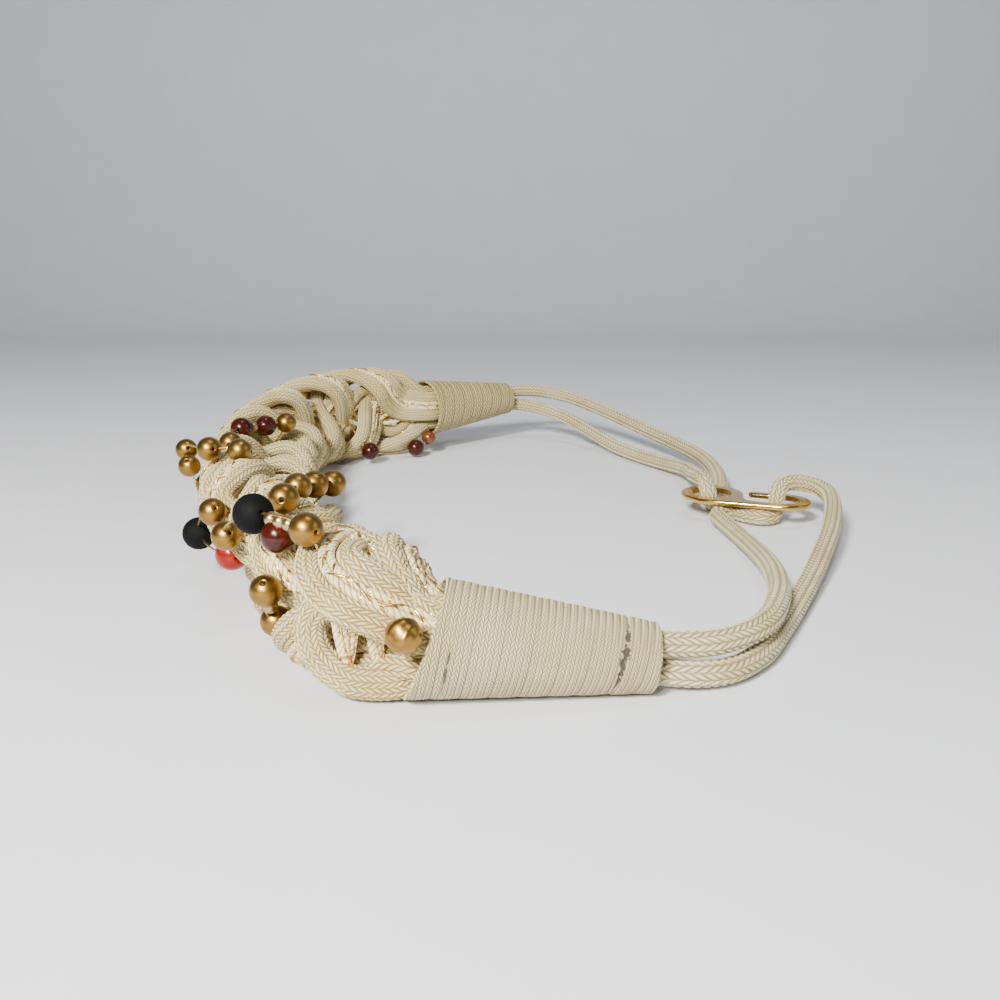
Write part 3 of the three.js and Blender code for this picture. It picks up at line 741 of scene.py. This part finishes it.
def hook_material():
    """Polished gold tone plate with faint scratches and a little wear."""
    material, w, shader, place = new_material("polished_hook")
    stretched = w.nodes.new("ShaderNodeMapping")
    stretched.inputs["Scale"].default_value = (1.0, 0.15, 1.0)
    w.put(stretched.inputs["Vector"], place)
    scratch = w.ramp(w.noise(stretched.outputs[0], 2600.0, 2.0), 0.5, 0.72)
    worn = w.ramp(w.noise(place, 260.0, 3.0), 0.45, 0.75)
    w.put(shader["Base Color"], w.colour(worn, (0.72, 0.47, 0.13), (0.56, 0.36, 0.11)))
    w.put(shader["Roughness"], w.math("MULTIPLY_ADD", scratch, 0.12, 0.13))
    w.put(shader["Normal"], w.bump(scratch, 0.00002, 0.4))
    w.put(shader["Metallic"], 1.0)
    return material


def floor_material():
    material, w, shader, place = new_material("pale_floor")
    grain = w.noise(place, 30.0, 4.0)
    w.put(shader["Base Color"], w.colour(grain, (0.76, 0.775, 0.81), (0.82, 0.835, 0.87)))
    w.put(shader["Roughness"], 0.8)
    return material


braids = braid_group()
soils = soil_group()
stains = stain_group()


# Camera, floor and light

def make_camera():
    data = bpy.data.cameras.new("camera")
    data.lens = camera_lens
    data.sensor_width = camera_sensor
    data.clip_start = 0.01
    camera = bpy.data.objects.new("camera", data)
    bpy.context.scene.collection.objects.link(camera)
    camera.location = camera_place
    camera.rotation_euler = (math.radians(90 - camera_pitch), 0, math.radians(90))
    bpy.context.scene.camera = camera


def make_floor():
    """A level floor that turns up into a back wall: a straight run, a quarter circle, a wall."""
    turn = np.radians(np.linspace(0, 90, 13))
    radius, back, reach, height, drop = 0.35, -0.75, 5.0, 2.0, 0.00005
    x = np.concatenate([[reach, 0.5], back - radius * np.sin(turn), [back - radius]])
    z = np.concatenate([[0, 0], radius - radius * np.cos(turn), [height]])
    y = np.array([-reach, reach])
    points = np.stack([np.repeat(x, 2), np.tile(y, len(x)), np.repeat(z, 2) - drop], 1)
    row = np.arange(len(x) - 1) * 2
    faces = np.stack([row, row + 2, row + 3, row + 1], 1)
    floor = Piece("floor")
    floor.add_faces(points, faces)
    floor.make(floor_material(), placed=False)


def add_light(name, place, aim, size, power, tint):
    data = bpy.data.lights.new(name, "AREA")
    data.shape = "DISK"
    data.size = size
    data.energy = power
    data.color = tint
    light = bpy.data.objects.new(name, data)
    bpy.context.scene.collection.objects.link(light)
    light.location = place
    direction = Vector(aim) - Vector(place)
    light.rotation_euler = direction.to_track_quat("-Z", "Y").to_euler()


def make_light():
    """A soft grey world and four round lights: name, place, aim, size, power and tint."""
    world = bpy.data.worlds.new("studio")
    bpy.context.scene.world = world
    world.use_nodes = True
    background = world.node_tree.nodes["Background"].inputs
    background["Color"].default_value = (0.80, 0.83, 0.88, 1)
    background["Strength"].default_value = 0.17
    add_light("key", (0.66, -0.25, 0.45), (0.05, -0.02, 0.0), 0.13, 14.0, (1.0, 0.98, 0.95))
    add_light("glint", (0.62, -0.12, 0.30), (0.06, -0.02, 0.01), 0.03, 2.2, (1.0, 0.99, 0.97))
    add_light("top", (0.05, 0.15, 1.1), (0.0, 0.0, 0.0), 0.35, 2.4, (1.0, 1.0, 1.0))
    add_light("side", (0.2, 0.95, 0.5), (0.0, 0.0, 0.02), 0.6, 1.6, (0.95, 0.97, 1.0))


# Cones

def cone_frame(mouth, aim):
    """The middle of the mouth, the axis, two directions square to it, and the small end."""
    axis = unit(aim)
    side = unit(np.cross(axis, world_up))
    up = np.cross(side, axis)
    return {"mouth": mouth, "axis": axis, "side": side, "up": up, "end": mouth + axis * cone_length}


near_cone = cone_frame(plait_line[0, :3], near_cone_aim)
far_cone = cone_frame(plait_line[-1, :3], far_cone_aim)


# Bights

def bight_route(cone, rows):
    """Out of the cone on top, along the rows, and back into it below."""
    half_pair = cord_radius + gap / 3
    seats = [(-bight_seat, half_pair), (0, half_pair), (0, -half_pair), (-bight_seat, -half_pair)]
    ends = [cone["end"] + cone["axis"] * along + cone["up"] * rise for along, rise in seats]
    return dense_curve([*ends[:2], *rows, *ends[2:]])


def make_bight(name, cone, rows, material):
    """A braided cord along its route, as one piece."""
    route = even_line(bight_route(cone, rows), 0.001)
    _, first = carried_side(route, cone["up"])
    piece = Piece(name + "_cord")
    add_braided_cord(piece, route, first, columns=cord_columns, stitch=cord_stitch)
    made = piece.make(material, "cord", [name])


# Plait

def plait_middle():
    """The plait's middle line, which runs a little way into both mouths."""
    seats = [(near_cone, 1.0), (near_cone, 0.5), (far_cone, 0.5), (far_cone, 1.0)]
    ends = [cone["mouth"] + cone["axis"] * strand_seat * share for cone, share in seats]
    return dense_curve([*ends[:2], *plait_line[:, :3], *ends[2:]])


plait_points = plait_middle()
plait_length = run_lengths(plait_points)[-1]


def line_share(column, shares):
    """A column of plait_line read at shares of the plait's length."""
    rows = np.linspace(0, 1, len(plait_line))
    return np.interp(shares, rows, plait_line[:, column])[:, None]


def plait_frame(shares):
    """Middle, along, out and up: out is level and square to the line, turned about it by the
    roll, and up is square to both."""
    middle = along_line(plait_points, shares)
    reach = look_ahead / plait_length
    before = along_line(plait_points, np.maximum(shares - reach, 0))
    after = along_line(plait_points, np.minimum(shares + reach, 1))
    along = unit(after - before)
    level = unit(np.cross(world_up, along))
    roll = np.radians(line_share(5, shares))
    out = level * np.cos(roll) - np.cross(along, level) * np.sin(roll)
    return middle, along, out, unit(np.cross(along, out))


def cross_share(shares):
    """How far the crossing has come: it rests in the mouths and eases in and out of them."""
    def eased(from_end):
        run = np.maximum(from_end - strand_seat - cross_start, 0)
        part = np.minimum(run / cross_ease, 1)
        return cross_ease * (part ** 3 - part ** 4 / 2) + np.maximum(run - cross_ease, 0)

    total = 2 * eased(plait_length / 2)
    done = eased(np.minimum(shares, 1 - shares) * plait_length) / total
    return np.where(shares < 0.5, done, 1 - done)


def strand_place(strand, shares):
    """A strand's middle in the plait's cross section: it swings up and down as a sine, and out
    and in as a sine of twice the rate, and gathers to a ring of three in each mouth."""
    start = first_phase / 360 + strand / 3
    phase = 2 * np.pi * (plait_turns * cross_share(shares) + start)[:, None]
    from_end = (np.minimum(shares, 1 - shares) * plait_length)[:, None]
    free = smooth(from_end, strand_seat, strand_seat + mouth_reach)
    end_phase = 2 * np.pi * np.where(shares < 0.5, start, start + plait_turns)[:, None]
    mouth_angle = end_phase - math.radians(mouth_turn)
    rise = plait_swing * line_share(3, shares) * np.sin(phase)
    reach = plait_depth * line_share(4, shares) * np.sin(2 * phase)
    facing = np.radians(90 - band_lean * np.cos(phase))
    end_facing = np.radians(90 - band_lean * np.cos(end_phase))
    agrees = np.where(np.cos(end_facing - mouth_angle) >= 0, 1, -1)
    return {
        "up": mix(mouth_ring * np.sin(mouth_angle), rise, free),
        "out": mix(mouth_ring * np.cos(mouth_angle), reach, free),
        "normal_out": mix(agrees * np.cos(mouth_angle), np.cos(facing), free),
        "normal_up": mix(agrees * np.sin(mouth_angle), np.sin(facing), free),
        "spread": mix(mouth_spread, strand_spread, free),
    }


def strand_sections(strand):
    """A strand's middle points, the way its flat side faces, the way its width runs, and how far
    its thick cords are from its middle."""
    shares = np.linspace(0, 1, strand_rows)
    middle, _, out, up = plait_frame(shares)
    place = strand_place(strand, shares)
    middle = middle + up * place["up"] + out * place["out"]
    along = unit(np.gradient(middle, axis=0))
    flat = out * place["normal_out"] + up * place["normal_up"]
    flat = unit(flat - along * np.sum(flat * along, 1, keepdims=True))
    return middle, flat, np.cross(along, flat), place["spread"]


def wander(count, size, seed, waves=3):
    """A slow unevenness along a cord: a few sines with seeded phases."""
    random = np.random.default_rng(seed)
    share = np.linspace(0, 1, count)[:, None]
    phases = random.uniform(0, 2 * np.pi, waves)
    rates = random.uniform(4, 13, waves)
    return size * np.sin(2 * np.pi * share * rates + phases).sum(1, keepdims=True) / waves


def add_bundle(pieces, middle, flat, wide, spread, seed):
    """Two thick braided cords side by side, with thin twisted cords and metallic thread in the
    valleys between them on both faces."""
    thick, thin, gold = pieces
    count = len(middle)
    for edge in (1, -1):
        lift = wander(count, pair_lift, seed + edge + 2)
        line = middle + wide * spread * edge + flat * lift
        add_braided_cord(thick, line, flat, start_turn=0.5 * (edge + 1), wide=pair_width)
    for face in (1, -1):
        for edge in (1, -1):
            lift = ply_proud + wander(count, ply_lift, seed + 50 + 2 * face + edge)
            line = middle + wide * ply_beside * edge + flat * lift * face
            add_twisted_cord(thin, line, flat, start_turn=0.17 * (edge + 2 * face))
    run = run_lengths(middle)[:, None]
    for face in (1, -1):
        turn = 2 * np.pi * run / thread_weave + seed + face
        line = middle + wide * thread_swing * np.sin(turn)
        add_thread(gold, line + flat * face * (thread_proud + thread_lift * np.cos(2 * turn)))


def make_all(pieces, looks, replaced=()):
    """Makes the thick cords, the thin cords and the threads. The thick ones replace the nodes."""
    for piece, material, nodes in zip(pieces, looks, (replaced, (), ())):
        piece.make(material, "plait", nodes)


def make_strand(strand, looks):
    """One strand of the plait, as a bundle of cords."""
    name = f"plait_strand_{strand + 1}"
    pieces = [Piece(name + kind) for kind in ("_cords", "_twists", "_threads")]
    add_bundle(pieces, *strand_sections(strand), 10 * strand)
    make_all(pieces, looks, [name])


def make_inner_cords(looks, count=20, braided=3, radius=0.0026, rows=700):
    """Cords that wander inside the plait and show through its gaps. Each swings up and down
    and in and out of the plait's middle line as sines with seeded sizes and phases."""
    random = np.random.default_rng(4)
    pieces = [Piece("inner_" + kind) for kind in ("cords", "twists", "threads")]
    shares = np.linspace(0, 1, rows)
    middle, _, out, up = plait_frame(shares)
    free = smooth(np.minimum(shares, 1 - shares)[:, None] * plait_length, 0.0, 0.02)
    for number in range(count):
        turns = plait_turns * random.uniform(0.7, 1.9)
        phase = random.uniform(0, 2 * np.pi)
        size = random.uniform(0.004, 0.0105)  # how far it swings up and down
        depth = random.uniform(0.001, 0.0038)  # and how far out and in
        angle = 2 * np.pi * turns * shares[:, None] + phase
        rise = mix(0.003, size, free) * np.sin(angle)
        line = middle + up * rise + out * depth * np.cos(1.3 * angle + phase)
        if number < braided:
            add_braided_cord(pieces[0], line, up, radius=radius, step=inner_step)
        elif number % 4 == 3:
            add_thread(pieces[2], line)
        else:
            add_twisted_cord(pieces[1], line, up, step=inner_step, start_turn=phase)
    make_all(pieces, looks)


def make_near_loops(looks):
    """The lobe and the low loop beside the near cone, the bundle on top, the cord under the
    inner beads, and the thin cords inside the loop."""
    pieces = [Piece(name) for name in ("near_loops", "near_loop_twists", "near_loop_threads")]
    thick, thin, gold = pieces
    for seed, rows in ((70, near_lobe_line), (90, near_top_line)):
        lobe = even_line(dense_curve(rows), cord_step)
        along, flat = carried_side(lobe, world_up)
        add_bundle(pieces, lobe, flat, np.cross(along, flat), lobe_spread, seed)
    arch = even_line(dense_curve(inner_arch_line), cord_step)
    add_braided_cord(thick, arch, carried_side(arch, world_up)[1], wide=pair_width)
    ahead = (1.0, 0.0, 0.0)
    loop = even_line(dense_curve(near_loop_line), cord_step)
    add_braided_cord(thick, loop, carried_side(loop, ahead)[1], wide=loop_width)
    inner = mix(loop.mean(0), loop, loop_inner) - (loop_sunk, 0, 0)
    add_twisted_cord(thin, inner, carried_side(inner, ahead)[1])
    for row, start in enumerate(hanging_starts):
        lean = hanging_lean * math.sin(2.1 * row)
        line = dense_curve([(x, start + moved * lean, z) for x, moved, z in hanging_line])
        add_twisted_cord(thin, line, carried_side(line, ahead)[1])
        add_thread(gold, line + (0.0009, 0.0011, 0))
    make_all(pieces, looks)


# Windings

def make_winding(name, cone, material, columns, stitches, step, sides, slant=0.0, fray=0.0):
    """A closed surface turned about the cone's axis. Its outside is a helix: the radius falls
    evenly along the cone, rises in an arch across each turn and dips between the stitches. Both
    ends fold in over a rim to the closed inside."""
    rows = int(round(cone_length / step))
    share = np.linspace(0, 1, rows + 1)[:, None]
    angle = 2 * np.pi * np.arange(sides + 1)[None, :] / sides
    lean = slant * np.sin(angle)
    along = share * cone_length + lean * (1 - share) ** 2
    base = mix(cone_big_radius, cone_small_radius, along / cone_length)
    turn = along / cone_length * cone_turns + angle / (2 * np.pi)
    across = turn * columns
    run = angle / (2 * np.pi) * stitches
    side = 2 * (turn - np.floor(turn)) - 1
    arch = turn_bulge * (np.sqrt(1 - turn_round * side ** 2) - 1)
    radius = base + arch - winding_relief * (1 - braid_height(across, run))
    radius = radius - fray * np.exp(-((turn - fray_turn) / fray_width) ** 2)
    inner_big = cone_big_radius - cone_wall
    inner_small = cone_small_radius - cone_wall
    cup = np.array([
        (cup_depth, pole_radius), (cup_depth, inner_big * 0.9), (0.0060, inner_big),
        (0.0008, inner_big), (0.0, inner_big + 0.0004),
    ])
    start_along = cup[:, :1] + lean
    start_radius = np.broadcast_to(cup[:, 1:], start_along.shape)
    mouth_along = np.vstack([start_along, along[:1] - rim_lead + 0 * angle])
    mouth_radius = np.vstack([start_radius, radius[:1] - rim_lip])
    tail = np.array([(0.0, inner_small + 0.0003), (-0.0012, inner_small), (-0.002, pole_radius)])
    end_along = np.vstack([along[-1:] + rim_lead, cone_length + tail[:, :1] + 0 * angle])
    end_radius = np.vstack([radius[-1:] - rim_lip, np.broadcast_to(tail[:, 1:], (3, sides + 1))])
    all_along = np.vstack([mouth_along, along, end_along])
    all_radius = np.vstack([mouth_radius, radius, end_radius])
    cos, sin = np.cos(angle)[..., None], np.sin(angle)[..., None]
    spoke = -cone["side"] * cos + cone["up"] * sin
    points = cone["mouth"] + cone["axis"] * all_along[..., None] + spoke * all_radius[..., None]
    u = np.vstack([np.repeat(across[:1], len(mouth_along), 0), across,
                   np.repeat(across[-1:], len(end_along), 0)])
    v = np.broadcast_to(run, u.shape)
    piece = Piece(name + "_wound_cord")
    piece.add(points[:, :-1], np.stack([u, v], 2))
    piece.make(material, "winding", [name, name.replace("winding", "core")])


# Hook

def hook_outline():
    """The hook's outer edge in its own plane, turning left: round the eye, along the shank's
    outer edge, round the bend, back along the return arm and in along the inner edge."""
    bend = np.array([hook_reach - hook_bend_radius, hook_bend_radius - hook_shank_offset])

    def arc(middle, radius, start, end, count):
        angle = np.radians(np.linspace(start, end, count))
        return np.asarray(middle) + radius * np.stack([np.cos(angle), np.sin(angle)], 1)

    inner_radius = hook_bend_radius - hook_arm_width
    tip_radius = hook_arm_width * 0.38
    tip = np.array([bend[0] - hook_tip_run, bend[1] + hook_bend_radius - hook_arm_width / 2])
    eye = arc((0, 0), hook_eye_radius, 12, 232, 34)
    shank = np.array([(-0.0030, -0.0118), (0.0010, -0.0125), (0.0050, -hook_shank_offset)])
    outer = arc(bend, hook_bend_radius, -90, 90, 24)
    tip_round = arc(tip, tip_radius, 90, 270, 10)
    inner = arc(bend, inner_radius, 90, -90, 20)
    web = np.array([(0.0180, -0.0083), (0.0135, -0.0074), (0.0118, -0.0052), (0.0112, -0.0010)])
    return np.vstack([eye, shank, outer, tip_round, inner, web])


def offset_loop(loop, distance):
    """A closed outline moved square to itself, to its left."""
    ahead = unit(np.roll(loop, -1, 0) - loop)
    behind = np.roll(ahead, 1, 0)
    tangent = unit(ahead + behind)
    return loop + distance * np.stack([-tangent[:, 1], tangent[:, 0]], 1)


def make_hook(material):
    """A flat plate with rounded edges: the outline, and the hole in the eye, drawn in by a
    quarter circle towards each face, and both faces closed between them."""
    angle = np.radians(hook_turn)
    turn = np.array([[np.cos(angle), np.sin(angle)], [-np.sin(angle), np.cos(angle)]])
    ring = np.radians(np.linspace(0, 360, 49)[:-1])
    hole = hook_hole_radius * np.stack([np.cos(-ring), np.sin(-ring)], 1)
    steps = np.radians(np.linspace(-90, 90, 9))
    half = hook_thickness / 2
    piece = Piece("hook_plate")
    for loop in (hook_outline(), hole):
        rows = []
        for step in steps:
            drawn = offset_loop(loop, hook_edge_radius * (1 - np.cos(step)))
            level = half + (half - hook_edge_radius) * np.sign(round(math.sin(step), 6)) \
                + hook_edge_radius * math.sin(step)
            flat = drawn @ turn
            rows.append(np.column_stack([flat, np.full(len(flat), level)]))
        grid = np.array(rows) + hook_place
        uv = np.zeros((len(rows), len(loop) + 1, 2))
        piece.add(grid, uv, capped=False)
    outer = offset_loop(hook_outline(), hook_edge_radius)
    inner = offset_loop(hole, hook_edge_radius)
    flat = np.vstack([outer, inner])
    loops = [[Vector((*point, 0)) for point in loop] for loop in (outer, inner)]
    faces = np.array(tessellate_polygon(loops))
    a, b, c = flat[faces[:, 0]], flat[faces[:, 1]], flat[faces[:, 2]]
    area = (b[:, 0] - a[:, 0]) * (c[:, 1] - a[:, 1]) - (b[:, 1] - a[:, 1]) * (c[:, 0] - a[:, 0])
    faces = np.where(area[:, None] > 0, faces, faces[:, ::-1])
    turned = flat @ turn
    for level, corners in ((hook_thickness, faces), (0.0, faces[:, ::-1])):
        points = np.column_stack([turned, np.full(len(turned), level)]) + hook_place
        piece.add_faces(points, corners)
    piece.make(material, "hook", ["hook"])


# Beads

bead_hole = 0.0006
bead_thread_radius = 0.0003
bead_patches = 420.0  # scale of the mottles on a bead
bead_ridge = 0.00022  # height of the ridges on the textured bead
bead_facets = 9
lone_aim = (0.3, 1.0, 0.2)  # the way the hole runs in a bead that is on no string
bead_strings = [
    ["gold_bead_01", "black_bead_01", "gold_bead_02"],
    ["red_bead_01", "black_bead_02", "gold_bead_03"],
    ["gold_bead_04", "gold_bead_05", "gold_bead_06", "gold_bead_07"],
    ["gold_bead_08", "gold_bead_09", "gold_bead_10", "gold_bead_11", "gold_bead_12"],
    ["gold_bead_13", "garnet_bead_02", "garnet_bead_03", "gold_bead_14"],
    ["gold_bead_15", "gold_bead_16", "gold_bead_17"],
    ["garnet_bead_04", "garnet_bead_05", "copper_bead_01"],
    ["gold_bead_18", "gold_bead_19"],
]
spacer_radius = 0.0017
most_spacers = 3  # in one gap of a string
textured_bead = "gold_bead_20"
faceted_beads = ("garnet_bead_03",)


def bead_ball(name):
    """A CAD bead's middle and radius."""
    low, high = (np.array(corner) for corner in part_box(name))
    return (low + high) / 2, (high[2] - low[2]) / 2


def add_bead(piece, middle, radius, axis, columns=40, rows=24, swirl=0.0, facets=0):
    """A ball with a hole through it along the axis. Its profile is a half circle whose ends turn
    in at the hole. A swirl adds low ridges, and facets flatten it."""
    axis = unit(np.asarray(axis, dtype=float))
    lean = world_up if abs(axis[2]) < steep else np.array([1.0, 0, 0])
    first = unit(np.cross(lean, axis))
    second = np.cross(axis, first)
    open_angle = math.asin(bead_hole / radius)
    polar = np.linspace(open_angle, np.pi - open_angle, rows)
    ring = radius * np.sin(polar)
    along = -radius * np.cos(polar)
    inner = bead_hole * 0.8
    ring = np.concatenate([[inner, inner], ring, [inner, inner]])
    along = np.concatenate([[-radius * 0.5, -radius * 0.93], along, [radius * 0.93, radius * 0.5]])
    angle = 2 * np.pi * np.arange(columns) / columns
    grid_ring = np.repeat(ring[:, None], columns, 1)
    if swirl:
        level = (along / radius)[:, None]
        twist = np.sin(4 * angle[None, :] + 9 * level ** 2 * np.sign(level))
        grid_ring = grid_ring + swirl * twist * (ring / radius)[:, None]
    if facets:
        share = (angle * facets / (2 * np.pi)) % 1 - 0.5
        flatter = np.cos(np.pi / facets) / np.cos(share * 2 * np.pi / facets)
        grid_ring = grid_ring * flatter[None, :]
    spoke = first * np.cos(angle)[:, None] + second * np.sin(angle)[:, None]
    points = middle + axis * along[:, None, None] + spoke[None] * grid_ring[..., None]
    uv = np.zeros((len(ring), columns + 1, 2))
    piece.add(points, uv)


def nearest(points, place):
    return points[np.argmin(np.linalg.norm(points - place, axis=1))]


def add_spacers(piece, start, end, start_radius, end_radius):
    """Spacer beads in a row between two beads, in the middle of the room they leave."""
    direction = unit(end - start)
    room = np.linalg.norm(end - start) - start_radius - end_radius
    size = 2 * spacer_radius
    count = int(room // size)
    if 1 <= count <= most_spacers:
        first = start_radius + (room - count * size) / 2 + spacer_radius
        for number in range(count):
            middle = start + direction * (first + number * size)
            add_bead(piece, middle, spacer_radius, direction, 20, 12)


def make_beads(looks, thread):
    """Every bead of the CAD, with its hole along its string, a thread through each string that
    dives into the plait at both ends, and spacer beads where two beads leave room."""
    aims = {}
    threads = Piece("bead_threads")
    spacers = Piece("spacer_beads")
    plait = plait_points + plan_shift
    dive = 0.8  # how far towards the plait's middle line a thread goes in
    for string in bead_strings:
        balls = [bead_ball(name) for name in string]
        middles = np.array([middle for middle, _ in balls])
        ends = [mix(end, nearest(plait, end), dive) for end in (middles[0], middles[-1])]
        add_thread(threads, dense_curve([ends[0], *middles, ends[1]]), bead_thread_radius)
        aims.update(zip(string, np.gradient(middles, axis=0)))
        for (start, start_radius), (end, end_radius) in zip(balls, balls[1:]):
            add_spacers(spacers, start, end, start_radius, end_radius)
    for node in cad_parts:
        if "_bead_" not in node:
            continue
        kind = node.split("_bead")[0]
        middle, radius = bead_ball(node)
        piece = Piece(node + "_turned")
        facets = bead_facets if node in faceted_beads else 0
        swirl = bead_ridge if node == textured_bead else 0.0
        add_bead(piece, middle, radius, aims.get(node, lone_aim), swirl=swirl, facets=facets)
        if node not in aims:
            seat = nearest(plait, middle)
            way_in = dense_curve([middle, mix(middle, seat, 0.5), mix(middle, seat, dive)])
            add_thread(threads, way_in, bead_thread_radius)
        piece.make(looks[kind], kind + "_bead", [node], placed=False)
    spacers.make(looks["pale"], "gold_bead", placed=False)
    threads.make(thread, "gold_bead", placed=False)


# The belt

make_camera()
# Each cord: its light colour, its warm patches, and the painted shade in its grooves
ivory = cord_material("ivory_cord", (0.95, 0.83, 0.42), (0.85, 0.67, 0.27), (0.22, 0.115, 0.024))
loose_ivory = cord_material("loose_ivory_cord", (0.88, 0.79, 0.47), (0.75, 0.62, 0.31),
                            (0.22, 0.15, 0.045))
make_bight("near_bight", near_cone, near_bight_line, loose_ivory)
make_bight("far_bight", far_cone, far_bight_line, loose_ivory)
make_floor()
make_light()

# light colour, painted shade between the plies, and metallic gold
twisted = ply_material("twisted_cord", (0.86, 0.72, 0.38), (0.19, 0.095, 0.022), (0.74, 0.44, 0.10))
gold_thread = thread_material()
looks = (ivory, twisted, gold_thread)
for index in range(3):
    make_strand(index, looks)

make_inner_cords(looks)
make_near_loops(looks)

# The number after the warm colour is the strength of the painted shade along the seams between turns.
worn_winding = winding_material("worn_winding", near_columns, near_stitches,
                                (0.95, 0.85, 0.52), (0.84, 0.71, 0.36), 0.25, worn_lines)
# The far winding is a darker, more olive copy of the near one: painted shade for the weaker light
# that reaches the far cone.
far_winding_painted_shade = winding_material("far_winding_painted_shade", far_columns, far_stitches,
                                 (0.62, 0.52, 0.24), (0.52, 0.42, 0.17), 0.75, ())
make_winding("near_winding", near_cone, worn_winding, near_columns, near_stitches,
             0.00021, 400, mouth_slant, fray_depth)
make_winding("far_winding", far_cone, far_winding_painted_shade, far_columns, far_stitches, 0.0004, 230)
make_hook(hook_material())

# Each bead's colour and the deeper one of its mottles, how metallic, how rough and how coated it
# is, its grain and its shine
bead_looks = {
    "gold": bead_material(
        "satin_gold", (0.34, 0.195, 0.042), (0.28, 0.155, 0.034), 1.0, 0.34, 0.05, 0.00001),
    "pale": bead_material(
        "pale_gold", (0.60, 0.42, 0.20), (0.50, 0.33, 0.15), 1.0, 0.3, 0.1),
    "black": bead_material(
        "black_bead", (0.002, 0.002, 0.002), (0.003, 0.003, 0.003), 0.0, 0.7, 0.0, 0.0, 0.12),
    "red": bead_material(
        "red_bead", (0.32, 0.006, 0.001), (0.18, 0.003, 0.001), 0.0, 0.2, 0.1, 0.0, 0.3),
    "garnet": bead_material(
        "garnet_bead", (0.050, 0.005, 0.001), (0.022, 0.003, 0.001), 0.0, 0.22, 0.1, 0.0, 0.3),
    "copper": bead_material(
        "copper_bead", (0.26, 0.085, 0.025), (0.16, 0.05, 0.015), 0.6, 0.28, 0.2),
}
make_beads(bead_looks, gold_thread)
